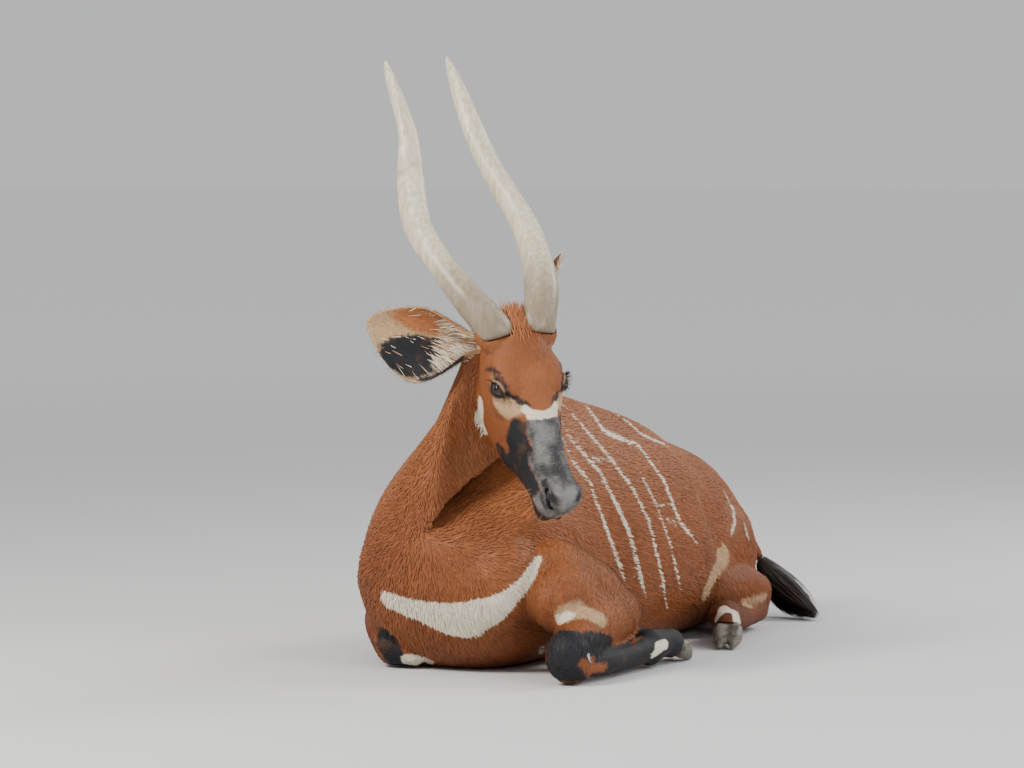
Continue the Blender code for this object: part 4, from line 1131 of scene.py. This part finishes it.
def unwrap(skin):
    """A coarse copy of the skin with its shape laid out flat, to find where each root lies on it."""
    flat = new_object("unwrapped", skin.data.copy())
    with_modifier(flat, "DECIMATE", ratio=FLAT_TRIANGLES / len(skin.data.polygons))
    bpy.context.view_layer.objects.active = flat
    flat.select_set(True)
    bpy.ops.object.mode_set(mode="EDIT")
    bpy.ops.mesh.select_all(action="SELECT")
    bpy.ops.uv.smart_project(angle_limit=FLAT_ANGLE, island_margin=FLAT_MARGIN)
    bpy.ops.object.mode_set(mode="OBJECT")
    mesh = flat.data
    corners = np.zeros(len(mesh.loops), np.int32)
    mesh.loops.foreach_get("vertex_index", corners)
    spots = np.zeros(len(mesh.loops) * 2, np.float32)
    mesh.uv_layers.active.data.foreach_get("uv", spots)
    mesh.calc_loop_triangles()
    loops = np.zeros(len(mesh.loop_triangles) * 3, np.int32)
    mesh.loop_triangles.foreach_get("loops", loops)
    places, triangles = places_of(mesh), corners[loops].reshape(-1, 3)
    tree = BVHTree.FromPolygons(places.tolist(), triangles.tolist())
    bpy.data.objects.remove(flat, do_unlink=True)
    return places, triangles, spots.reshape(-1, 2)[loops].reshape(-1, 3, 2), tree


def flat_spots(flat, roots):
    """Where each root lies on the unwrapped skin."""
    places, triangles, spots, tree = flat
    found = np.zeros((len(roots), 2))
    for i, root in enumerate(roots):
        hit = tree.find_nearest(Vector(root))
        a, b, c = places[triangles[hit[2]]]
        point = np.array(hit[0])
        whole = np.linalg.norm(np.cross(b - a, c - a)) + TINY_AREA
        first = np.linalg.norm(np.cross(b - point, c - point)) / whole
        second = np.linalg.norm(np.cross(c - point, a - point)) / whole
        found[i] = first * spots[hit[2], 0] + second * spots[hit[2], 1] + (1 - first - second) * spots[hit[2], 2]
    return found


def roots_on(skin, count, density):
    """Random roots on the skin, as triangles and the shares of their corners."""
    places = places_of(skin.data)
    triangles = triangles_of(skin.data)
    a, b, c = (places[triangles[:, i]] for i in range(3))
    area = 0.5 * np.linalg.norm(np.cross(b - a, c - a), axis=1)
    ends = np.cumsum(area * density[triangles].mean(1))
    spots = (np.arange(count) + rng.random(count)) / count * ends[-1]
    chosen = np.minimum(np.searchsorted(ends, spots), len(triangles) - 1)
    first = np.sqrt(rng.random(count))
    second = rng.random(count)
    shares = np.column_stack([1 - first, first * (1 - second), first * second])
    return triangles[chosen], shares


def between(values, corners, shares):
    """A value of the skin's points at each root."""
    picked = values[corners]
    if picked.ndim == 2:
        return (picked * shares).sum(1)
    return (picked * shares[:, :, None]).sum(1)


# How high a tuft's ridge is for its width, and how far its shading turns to each side of it
TUFT_RISE = 0.6
SHADE_TURN = 0.55


def tuft_mesh(name, spines, sides, ups, halves, fields, flat, material):
    """Thin tapered tufts, each a row of three-sided rings along its spine, closed at its root and its tip."""
    count, stations, _ = spines.shape
    rings = stations - 1
    half = halves[:, :rings, None]
    side = sides[:, None, :] * half
    rise = ups[:, None, :] * half * TUFT_RISE
    corners = np.stack([spines[:, :rings] - side, spines[:, :rings] + side, spines[:, :rings] + rise], axis=2)
    spots = np.concatenate([corners.reshape(count, rings * 3, 3), spines[:, rings:]], axis=1)
    size = rings * 3 + 1
    quads, tips = [], [(0, 1, 2)]
    for ring in range(rings - 1):
        for i in range(3):
            quads.append((ring * 3 + i, ring * 3 + 3 + i, ring * 3 + 3 + (i + 1) % 3, ring * 3 + (i + 1) % 3))
    for i in range(3):
        tips.append((size - 4 + (i + 1) % 3, size - 4 + i, size - 1))
    base = np.arange(count)[:, None, None] * size
    faces = [(np.array(group)[None] + base).reshape(-1, len(group[0])) for group in (quads, tips)]
    mesh = mesh_from(name, spots.reshape(-1, 3), faces)
    # Each tuft is shaded as a gently rounded strand on the skin, so that its thin edges don't look dark
    station = np.r_[np.repeat(np.arange(rings), 3), rings]
    turned = np.r_[np.tile((-SHADE_TURN, SHADE_TURN, 0.0), rings), 0.0]
    shading = ups[:, None, :] + sides[:, None, :] * turned[None, :, None]
    shading /= np.linalg.norm(shading, axis=2)[:, :, None]
    mesh.normals_split_custom_set_from_vertices(shading.reshape(-1, 3).astype(np.float32))
    for key, values in fields.items():
        carry(mesh, key, values[:, station].ravel())
    carry(mesh, "chance", np.repeat(rng.random(count), size))
    carry(mesh, "along", np.tile(station / rings, count))
    shape = np.column_stack([np.r_[np.tile((-PATCH_HALF, PATCH_HALF, 0.0), rings), 0.0], station / rings - 0.5])
    flat_at = flat_spots(flat, spines[:, 0])
    patches = np.clip(flat_at[:, None, :] + shape[None] * TUFT_PATCH, 0.0, 1.0).reshape(-1, 2)
    ends = np.zeros(len(mesh.loops), np.int32)
    mesh.loops.foreach_get("vertex_index", ends)
    layer = mesh.uv_layers.new(name="OFBake")
    layer.data.foreach_set("uv", patches[ends].astype(np.float32).ravel())
    mesh.materials.append(material)
    return new_object(name, mesh)


# Region: how many tufts, then their length, width and lift in metres
COATS = {
    "torso": (56000, 0.0165, 0.0030, 0.0036),
    "neck": (13000, 0.0175, 0.0028, 0.0038),
    "head": (19000, 0.0068, 0.0013, 0.0012),
    "ear_left": (3200, 0.008, 0.0015, 0.0012),
    "ear_right": (3200, 0.008, 0.0015, 0.0012),
    "fore_upper": (9500, 0.0100, 0.0022, 0.0024),
    "fore_lower": (3600, 0.0065, 0.0017, 0.0012),
    "hind_upper": (9000, 0.0110, 0.0024, 0.0024),
    "hind_lower": (3600, 0.0065, 0.0017, 0.0012),
    "tail": (1500, 0.014, 0.0024, 0.0020),
}
MOST_TUFTS = 19000
MARK_SHIFT = 0.0022
TUFT_LEAN = 0.15
TUFT_BEND = 0.45
ROOT_DEPTH = 0.0012
TIP_REACH = 0.03


class Pelt:
    """The skin as the coat needs it: its points, its lie, its regions and its marks."""

    def __init__(self, skin, normals, weights, lies, lines):
        self.skin = skin
        self.places = places_of(skin.data)
        self.normals = normals
        self.weights = weights
        self.lies = lies
        self.lines = lines
        self.flat = unwrap(skin)
        self.tree = BVHTree.FromPolygons(self.places.tolist(), triangles_of(skin.data).tolist())

    def roots(self, count, density):
        """Roots with the way up, the way along and the regions there."""
        corners, shares = roots_on(self.skin, count, density)
        spots = between(self.places, corners, shares)
        ups = between(self.normals, corners, shares)
        ups /= np.linalg.norm(ups, axis=1)[:, None]
        ways = tangent(between(self.lies, corners, shares), ups)
        held = {name: between(values, corners, shares) for name, values in self.weights.items()}
        return spots, ups, ways, held

    def marks_along(self, spines, ups, held):
        """The marks at each station of each tuft, shifted a little along it so that their edges are furry."""
        count, stations, _ = spines.shape
        ways = unit(spines[:, -1] - spines[:, 0])
        spots = spines - (ways * rng.normal(0.0, MARK_SHIFT, count)[:, None])[:, None, :]
        every = {name: np.repeat(values, stations) for name, values in held.items()}
        found = marks(spots.reshape(-1, 3), np.repeat(ups, stations, axis=0), every, self.lines)
        return {key: values.reshape(count, stations) for key, values in found.items()}


def short_tufts(pelt, name, spots, ups, ways, held, length, width, lift, material):
    """Flat tufts that lie along the skin, each with a bend and a point."""
    count = len(spots)
    lean = rng.normal(0.0, TUFT_LEAN, count)[:, None]
    ways = ways * np.cos(lean) + across(ways, ups) * np.sin(lean)
    tips = spots + ways * length[:, None]
    for i in range(count):
        hit = pelt.tree.find_nearest(Vector(tips[i]), TIP_REACH)
        if hit[0] is not None:
            tips[i] = np.array(hit[0]) + np.array(hit[1]) * lift[i]
    middles = spots * (1.0 - TUFT_BEND) + tips * TUFT_BEND + ups * (lift * TUFT_BEND)[:, None]
    spines = np.stack([spots - ups * ROOT_DEPTH, middles, tips], axis=1)
    halves = width[:, None] * np.array([0.5, 0.4, 0.0])
    fields = pelt.marks_along(spines, ups, held)
    return tuft_mesh(name, spines, across(ways, ups), ups, halves, fields, pelt.flat, material)


# Half the width of a lock at each of its stations, as a share of its width
LOCK_TAPER = np.array([0.375, 0.5, 0.425, 0.275, 0.0])
LOCK_DEPTH = 0.001


def locks(pelt, name, spots, ups, ways, droop, length, width, fields, material):
    """Longer free locks, each bending from the way that it leaves the skin towards its droop."""
    shape = (len(spots), len(LOCK_TAPER))
    share = np.linspace(0.0, 1.0, len(LOCK_TAPER))[None, :, None]
    long = length[:, None, None]
    droop = np.broadcast_to(droop, spots.shape)
    spines = spots[:, None, :] + ways[:, None, :] * long * share + droop[:, None, :] * long * share ** 2 * 0.5
    spines[:, 0] -= ups * LOCK_DEPTH
    halves = width[:, None] * LOCK_TAPER
    full = {}
    for key in (*MARK_KINDS, "tone"):
        value = np.asarray(fields.get(key, UNMARKED), float).reshape(-1, 1)
        full[key] = np.broadcast_to(value, shape)
    return tuft_mesh(name, spines, across(ways, ups), ups, halves, full, pelt.flat, material)


def both_horns_gap(local):
    return np.minimum(*(horn_gap(local, side) for side in SIDES.values()))


# How much longer the coat is on the crescent and by the horns, and its least length on the face, as shares
CRESCENT_LONGER = 0.55
CRESCENT_FADE = (0.06, 0.02)
HORN_LONGER = 1.2
HORN_FADE = (0.020, 0.004)
FACE_SHORT = 0.45
FACE_FADE = (-0.20, -0.03)


def coat_length(places, local, weights, lines):
    """How long the coat is for its region: longer on the breast's crescent, shorter on the face."""
    factor = np.ones(len(places))
    for _, axes, line, _ in lines:
        if axes == "breast":
            factor += CRESCENT_LONGER * step(line_distance(places, line)[0], *CRESCENT_FADE)
    shorter = FACE_SHORT + (1.0 - FACE_SHORT) * step(local[:, 1], *FACE_FADE)
    longer = 1.0 + HORN_LONGER * step(both_horns_gap(local), *HORN_FADE)
    return factor * np.where(weights["head"] > 0.4, shorter * longer, 1.0)


def grow_coat(pelt, bare, material):
    """The short coat, region by region, in pieces small enough to export."""
    made = []
    for region, (count, length, width, lift) in COATS.items():
        density = np.where(pelt.weights[region] > 0.5, 1.0, 0.0) * (1.0 - bare)
        spots, ups, ways, held = pelt.roots(count, density)
        longer = coat_length(spots, head_local(spots), held, pelt.lines)
        pieces = math.ceil(count / MOST_TUFTS)
        order = np.argsort(spots[:, 1], kind="stable")
        for number, chosen in enumerate(np.array_split(order, pieces)):
            size = len(chosen)
            made.append(short_tufts(
                pelt, "coat_" + region + ("" if pieces == 1 else "_" + str(number + 1)),
                spots[chosen], ups[chosen], ways[chosen], {key: values[chosen] for key, values in held.items()},
                length * rng.uniform(0.7, 1.25, size) * longer[chosen],
                width * rng.uniform(0.7, 1.3, size) * np.sqrt(np.minimum(longer[chosen], 1.0)),
                lift * rng.uniform(0.5, 1.0, size), material,
            ))
    return made


def scattered(ways, amount):
    """Ways turned a little at random."""
    return unit(ways + rng.normal(0.0, amount, ways.shape))


def by_chance(size, share, inside, outside):
    """One of two values for each lock at random."""
    return np.where(rng.random(size) < share, inside, outside)


# Room left between the ear hair's roots and the front of the CAD model's box
EAR_HAIR_ROOM = 0.030
FRINGE_ROOM = 0.011
EAR_HAIRS = 620
EAR_FRINGE = 900
EAR_ROOT = 0.075
FORELOCK_LOCKS = 900
WHISKERS = 70


def grow_ear_hair(pelt, side, material):
    """Long cream hair inside each ear's root, and a fringe round its edge."""
    root, along, upper, cup = ear_axes(side)
    away = pelt.places - root
    reach, height = away @ along, away @ upper
    on_ear = pelt.weights["ear_" + side] > 0.3
    ahead = pelt.places[:, 1] - cad_box[0][1]
    inner = on_ear & (pelt.normals @ cup > 0.15) & (reach > 0.004) & (ahead > EAR_HAIR_ROOM)
    density = inner * np.where(reach < EAR_ROOT, 1.0, 0.03) * np.where(np.abs(height) > 0.010, 1.0, 0.45)
    spots, ups, _, _ = pelt.roots(EAR_HAIRS, density)
    height = (spots - root) @ upper
    ways = scattered(along[None] * 0.85 + upper[None] * (-height * 7.0)[:, None] + cup[None] * 0.30, 0.14)
    size = len(spots)
    length = rng.uniform(0.016, 0.034, size)
    fields = {"white_mark": by_chance(size, 0.6, MARKED, UNMARKED), "tan_mark": MARKED, "tone": 0.7}
    inside = locks(pelt, "ear_hair_" + side, spots, ups, ways, -cup * 0.5, length,
                   rng.uniform(0.0010, 0.0018, size), fields, material)
    # The edge is where the skin faces neither into the cup nor away from it
    rim = on_ear & (np.abs(pelt.normals @ cup) < 0.45) & (reach > 0.03) & (ahead > FRINGE_ROOM)
    spots, ups, _, _ = pelt.roots(EAR_FRINGE, rim * 1.0)
    ways = scattered(ups * 0.75 + along[None] * 0.55 + cup[None] * 0.15, 0.12)
    size = len(spots)
    lower = (spots - root) @ upper < -0.01
    white = np.where(lower, by_chance(size, 0.35, UNMARKED, MARKED), MARKED)
    fields = {"white_mark": white, "tan_mark": MARKED, "tone": 0.7}
    fringe = locks(pelt, "ear_fringe_" + side, spots, ups, ways, along * 0.4,
                   rng.uniform(0.005, 0.0105, size), rng.uniform(0.0007, 0.0013, size), fields, material)
    return [inside, fringe]


def grow_forelock(pelt, material):
    """The bright tuft between the horns."""
    local = head_local(pelt.places)
    near = np.exp(-((local[:, 0] / 0.022) ** 2) - (((local[:, 1] - 0.004) / 0.026) ** 2))
    on_top = (pelt.weights["head"] > 0.5) * (pelt.normals @ HEAD_AXES[2] > 0.0)
    spots, ups, _, _ = pelt.roots(FORELOCK_LOCKS, near * on_top)
    ways = scattered(HEAD_AXES[1][None] * 0.75 + ups * 0.55, 0.16)
    size = len(spots)
    fields = {"tone": rng.uniform(0.6, 1.0, size)}
    return [locks(pelt, "forelock", spots, ups, ways, HEAD_AXES[1][None] * 0.5 - ups * 0.4,
                  rng.uniform(0.012, 0.026, size), rng.uniform(0.0012, 0.0022, size), fields, material)]


def grow_whiskers(pelt, material):
    """A few stiff hairs on the lips and the chin."""
    local = head_local(pelt.places)
    lips = (local[:, 1] < -0.300) & (local[:, 2] < -0.070) & (pelt.weights["head"] > 0.5)
    spots, ups, _, _ = pelt.roots(WHISKERS, lips * 1.0)
    ways = scattered(ups * 0.8 - HEAD_AXES[2][None] * 0.3, 0.20)
    size = len(spots)
    fields = {"dark_mark": by_chance(size, 0.6, MARKED, UNMARKED), "tan_mark": MARKED}
    return [locks(pelt, "whiskers", spots, ups, ways, -HEAD_AXES[2] * 0.4,
                  rng.uniform(0.010, 0.026, size), np.full(size, 0.0006), fields, material)]


# Eyes, horns, hooves and tail tuft

def shade_smooth(mesh):
    mesh.polygons.foreach_set("use_smooth", np.ones(len(mesh.polygons), bool))


def dress(mesh, material):
    mesh.materials.clear()
    mesh.materials.append(material)


def smooth_copy(name, node, levels, material):
    """A copy of a CAD node, merged and subdivided."""
    thing = merged_copy(name, [node], swell=0.0)
    with_modifier(thing, "SUBSURF", levels=levels, render_levels=levels)
    shade_smooth(thing.data)
    dress(thing.data, material)
    return thing


def finished(thing, body_slot, *replaced):
    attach(thing, "root")
    if replaced:
        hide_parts(*replaced)


HORN_LEVELS = 2
HOOF_LEVELS = 1
# How far back the horns' tips are in the head's axes
HORN_BACK = 0.686


def build_horns(material):
    for side in SIDES:
        horn = smooth_copy("horn_of_" + side, "horn_" + side, HORN_LEVELS, material)
        local = head_local(places_of(horn.data))
        carry(horn.data, "along", np.clip(local[:, 1] / HORN_BACK, 0.0, 1.0))
        finished(horn, "horn", "horn_" + side)


def almond_places(side, top, steps, rise):
    """Points along the upper or the lower lid's edge, in the scene's axes, and the ways out of the eye there."""
    centre, along, up, looks = eye_axes(side)
    a = np.linspace(-ALMOND_LENGTH, ALMOND_LENGTH, steps)
    upper, lower = lid_edges(a)
    b = upper if top else -lower
    turn = np.hypot(a, b)
    flat = (a[:, None] * along + b[:, None] * up) / (turn[:, None] + TINY)
    angle = (turn / EYE_RADIUS)[:, None]
    out = looks * np.cos(angle) + flat * np.sin(angle)
    return head_world(centre + out * (EYE_RADIUS + rise)), out @ HEAD_AXES


def tube(name, line, radius, corners=8):
    """A closed loop of tube along a line of points."""
    count = len(line)
    ahead = np.roll(line, -1, axis=0) - np.roll(line, 1, axis=0)
    ahead /= np.linalg.norm(ahead, axis=1)[:, None]
    middle = line.mean(0)
    side = tangent(line - middle, ahead)
    other = np.cross(ahead, side)
    angles = np.linspace(0, 2 * math.pi, corners, endpoint=False)
    ring = side[:, None] * np.cos(angles)[None, :, None] + other[:, None] * np.sin(angles)[None, :, None]
    places = (line[:, None] + ring * radius).reshape(-1, 3)
    i, j = np.meshgrid(np.arange(count), np.arange(corners), indexing="ij")
    ni, nj = (i + 1) % count, (j + 1) % corners
    faces = np.stack([i * corners + j, i * corners + nj, ni * corners + nj, ni * corners + j], axis=2)
    return mesh_from(name, places, faces.reshape(-1, 4))


CORNEA_TURN = 0.62
CORNEA_RISE = 0.0011
EYE_ROOM = 0.0003
RIM_STEPS = 25
RIM_RISE = 0.0012
RIM_RADIUS = 0.00135


def build_eyes(eye_material, rim_material):
    """Each eyeball with its cornea, and the dark wet rim of the lids round it."""
    for name, side in SIDES.items():
        centre, along, up, looks = eye_axes(side)
        sheet = bmesh.new()
        bmesh.ops.create_uvsphere(sheet, u_segments=48, v_segments=32, radius=1.0)
        mesh = bpy.data.meshes.new("eye_of_" + name)
        sheet.to_mesh(mesh)
        sheet.free()
        ball = places_of(mesh)
        out = ball[:, :1] * along + ball[:, 1:2] * up * side + ball[:, 2:] * looks
        turn = np.arccos(np.clip(ball[:, 2], -1, 1))
        bulge = CORNEA_RISE * step(turn, CORNEA_TURN, 0.10)
        set_places(mesh, head_world(centre + out * (EYE_RADIUS - EYE_ROOM + bulge)[:, None]))
        carry(mesh, "ring", turn / CORNEA_TURN)
        shade_smooth(mesh)
        dress(mesh, eye_material)
        finished(new_object("eye_of_" + name, mesh), "eye", "eye_" + name)
        upper, lower = (almond_places(side, top, RIM_STEPS, RIM_RISE)[0] for top in (True, False))
        rim = tube("lid_rim_" + name, np.vstack([upper, lower[-2:0:-1]]), RIM_RADIUS)
        rim.materials.append(rim_material)
        finished(new_object("lid_rim_" + name, rim), "eye")


# Whether they are the upper ones, how many, and their shortest and longest
LASHES = [(True, 78, 0.010, 0.019), (False, 26, 0.004, 0.008)]
LASH_RISE = 0.0022
LASH_WIDTH = 0.0009
LASH_MARGIN = 4


def grow_lashes(pelt, name, material):
    """Long lashes that hang over the upper half of the eye, and short ones below it."""
    side = SIDES[name]
    along, up, looks = (axis @ HEAD_AXES for axis in eye_axes(side)[1:])
    made = []
    for top, count, low, high in LASHES:
        spots, out = almond_places(side, top, count + 2 * LASH_MARGIN, LASH_RISE)
        spots, out = spots[LASH_MARGIN:-LASH_MARGIN], out[LASH_MARGIN:-LASH_MARGIN]
        size = len(spots)
        fan = np.linspace(-0.30, 0.55, size)[:, None] * along
        lift = 0.10 * up if top else -0.35 * up
        ways = scattered(out * 0.75 + looks * 0.25 + fan + lift, 0.10)
        droop = -0.85 * up if top else 0.3 * up
        fields = {"dark_mark": by_chance(size, 0.85, MARKED, UNMARKED), "tone": 0.3}
        made.append(locks(pelt, "lashes_" + ("upper_" if top else "lower_") + name, spots, out, ways, droop,
                          rng.uniform(low, high, size), np.full(size, LASH_WIDTH), fields, material))
    return made


def build_hooves(material):
    for limb in ("fore", "hind"):
        for side in SIDES:
            node = "hoof_" + limb + "_" + side
            finished(smooth_copy(node + "_horn", node, HOOF_LEVELS, material), "hoof", node)


# The tail tuft's path before the part's shift: place and radius
TAIL_PATH = np.array([
    (0.106, 1.313, 0.134, 0.016), (0.122, 1.309, 0.112, 0.029), (0.150, 1.301, 0.083, 0.042),
    (0.188, 1.289, 0.055, 0.045), (0.226, 1.276, 0.033, 0.036), (0.264, 1.263, 0.018, 0.018),
    (0.282, 1.257, 0.012, 0.008),
])
TAIL_LOCKS = 900
TAIL_CLUMPS = 26
TAIL_STATIONS = 5
TAIL_TAPER = np.array([0.8, 1.0, 0.85, 0.55, 0.0])
TAIL_FILL = 0.80
TAIL_TWIST = 0.9
TAIL_GATHER = 0.75
TAIL_SPREAD = 0.28
TAIL_ROOM = 0.003


def build_tail_hair(pelt, material):
    """Several hundred long dark locks that follow the tail's last part, in place of the solid's few."""
    low, high = (np.array(corner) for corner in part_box("tail_tuft"))
    start = rng.uniform(0.0, 0.50, TAIL_LOCKS)
    end = np.minimum(start + rng.uniform(0.35, 0.62, TAIL_LOCKS), 1.0)
    angle = rng.uniform(0, 2 * math.pi, TAIL_LOCKS)
    clump = rng.integers(0, TAIL_CLUMPS, TAIL_LOCKS)
    clump_angle = rng.uniform(0, 2 * math.pi, TAIL_CLUMPS)[clump]
    out = np.sqrt(rng.random(TAIL_LOCKS)) * TAIL_FILL
    share = start[:, None] + (end - start)[:, None] * np.linspace(0, 1, TAIL_STATIONS)[None]
    knots = np.linspace(0, 1, len(TAIL_PATH))
    middle = np.stack([np.interp(share, knots, TAIL_PATH[:, i]) for i in range(3)], axis=2) + np.array(SHIFT)
    radius = np.interp(share, knots, TAIL_PATH[:, 3])
    ahead = np.gradient(middle, axis=1)
    ahead /= np.linalg.norm(ahead, axis=2)[:, :, None]
    side = np.cross(ahead, np.array((0.0, 0.0, 1.0)))
    side /= np.linalg.norm(side, axis=2)[:, :, None]
    other = np.cross(side, ahead)
    gathered = np.sin(clump_angle - angle)[:, None] * TAIL_GATHER * share
    twist = angle[:, None] + share * TAIL_TWIST + gathered
    spread_out = 1.0 + rng.normal(0.0, TAIL_SPREAD, TAIL_LOCKS)[:, None] * share
    away = side * np.cos(twist)[:, :, None] + other * np.sin(twist)[:, :, None]
    spines = middle + away * (radius * out[:, None] * spread_out)[:, :, None]
    spines = np.clip(spines, low + TAIL_ROOM, high - TAIL_ROOM)
    halves = rng.uniform(0.0010, 0.0030, TAIL_LOCKS)[:, None] * TAIL_TAPER
    fields = {"tone": np.zeros((TAIL_LOCKS, TAIL_STATIONS))}
    hair = tuft_mesh("tail_hair", spines, side[:, 0], away[:, 0], halves, fields, pelt.flat, material)
    finished(hair, "tail_hair", "tail_tuft")


def rim_look():
    look = Look("bongo_lid_rim", {"Specular IOR Level": 0.5})
    grain = look.noise(300.0, detail=2.0)
    look.colour(look.mix(grain, RIM_BLACK, RIM_BROWN))
    look.rough(grain * 0.2 + 0.25)
    return look.material


# Where the coat thins out and how much of its depth goes: on the muzzle, round the eyes and round the horns
MUZZLE_THIN = (0.28, 0.35, 0.92)
EYE_THIN = (0.050, 0.034, 0.90)
HORN_THIN = (0.018, 0.004, 0.85)


def coat_depth(local, weights):
    """How far the skin lies inside the solids: the depth of the coat there, next to nothing on bare places."""
    depth = sum(weights[name] * deep for name, (_, _, deep) in REGIONS.items())
    from_eye = np.minimum(*(np.linalg.norm(local - eye_axes(side)[0], axis=1) for side in SIDES.values()))
    thins = (
        (-local[:, 1], MUZZLE_THIN, weights["head"]),
        (from_eye, EYE_THIN, 1.0),
        (both_horns_gap(local), HORN_THIN, 1.0),
    )
    for values, (low, high, lost), share in thins:
        depth = depth * (1.0 - lost * step(values, low, high) * share)
    return depth


# Folds of the near foreleg and breast, mirrored to the far side: pixels, depth and width in metres
BODY_FOLDS = [
    ([(571, 612), (578, 603), (594, 604)], 0.0040, 0.006),
    ([(573, 605), (580, 598), (590, 597)], 0.0025, 0.005),
    ([(541, 562), (551, 588), (549, 612), (546, 634)], 0.0060, 0.012),
    ([(566, 632), (580, 645), (592, 660)], 0.0030, 0.006),
    ([(640, 636), (637, 622), (628, 604)], 0.0030, 0.008),
    ([(708, 548), (700, 575), (700, 600)], 0.0050, 0.012),
    ([(742, 560), (741, 580), (752, 590)], 0.0030, 0.008),
]


def fold_body(places, normals, skin_tree):
    """Presses the folds of the skin into the body."""
    limb = folded(places, LIMB_MIDDLE_X)
    push = np.zeros(len(places))
    for pixels, depth, width in BODY_FOLDS:
        line = traced(skin_tree, pixels)
        if len(line) < 2:
            continue
        gap, share = line_distance(limb, folded(line, LIMB_MIDDLE_X))
        push += depth * np.exp(-((gap / width) ** 2)) * np.sin(math.pi * np.clip(share, 0.06, 0.94))
    return push


# Where the bare nose starts for its gloss and for its hair, in front of the horns
BARE_GLOSS = (0.345, 0.375)
BARE_HAIR = (0.325, 0.350)
# Hair keeps this far from the opening between the lids, and this near the eyeball it counts as there
LID_HAIRLESS = 0.0035
EYE_HAIRLESS = 0.034


def build_all():
    make_camera()
    make_studio()
    skin = build_skin()
    places = places_of(skin.data)
    normals = normals_of(skin.data)
    weights = region_weights(places)
    local = head_local(places)
    outer = BVHTree.FromPolygons(places.tolist(), triangles_of(skin.data).tolist())
    lies = hair_lie(places, normals, weights, edges_of(skin.data))
    lines = trace_marks(outer)
    depth = coat_depth(local, weights) + fold_body(places, normals, outer)
    set_places(skin.data, places - normals * depth[:, None])
    for key, values in marks(places, normals, weights, lines).items():
        carry(skin.data, key, values)
    carry(skin.data, "bare", step(-local[:, 1], *BARE_GLOSS) * weights["head"])
    dress(skin.data, skin_look())
    finished(skin, "coat", *BODY_NODES, *LEG_NODES, *EAR_NODES)
    pelt = Pelt(skin, normals, weights, lies, lines)
    in_eye = np.zeros(len(places))
    for side in SIDES.values():
        a, b, far, outward = round_eye(local, side)
        in_eye = np.maximum(in_eye, (in_almond(a, b) > -LID_HAIRLESS) & (far < EYE_HAIRLESS) & (outward > 0))
    hairless = np.clip(step(-local[:, 1], *BARE_HAIR) * weights["head"] + in_eye, 0, 1)
    coat = coat_look()
    made = grow_coat(pelt, hairless, coat)
    for side in SIDES:
        made += grow_ear_hair(pelt, side, coat)
        made += grow_lashes(pelt, side, coat)
    made += grow_forelock(pelt, coat) + grow_whiskers(pelt, coat)
    for piece in made:
        finished(piece, "coat")
    build_horns(horn_look())
    build_eyes(eye_look(), rim_look())
    build_hooves(hoof_look())
    build_tail_hair(pelt, tail_look())


build_all()
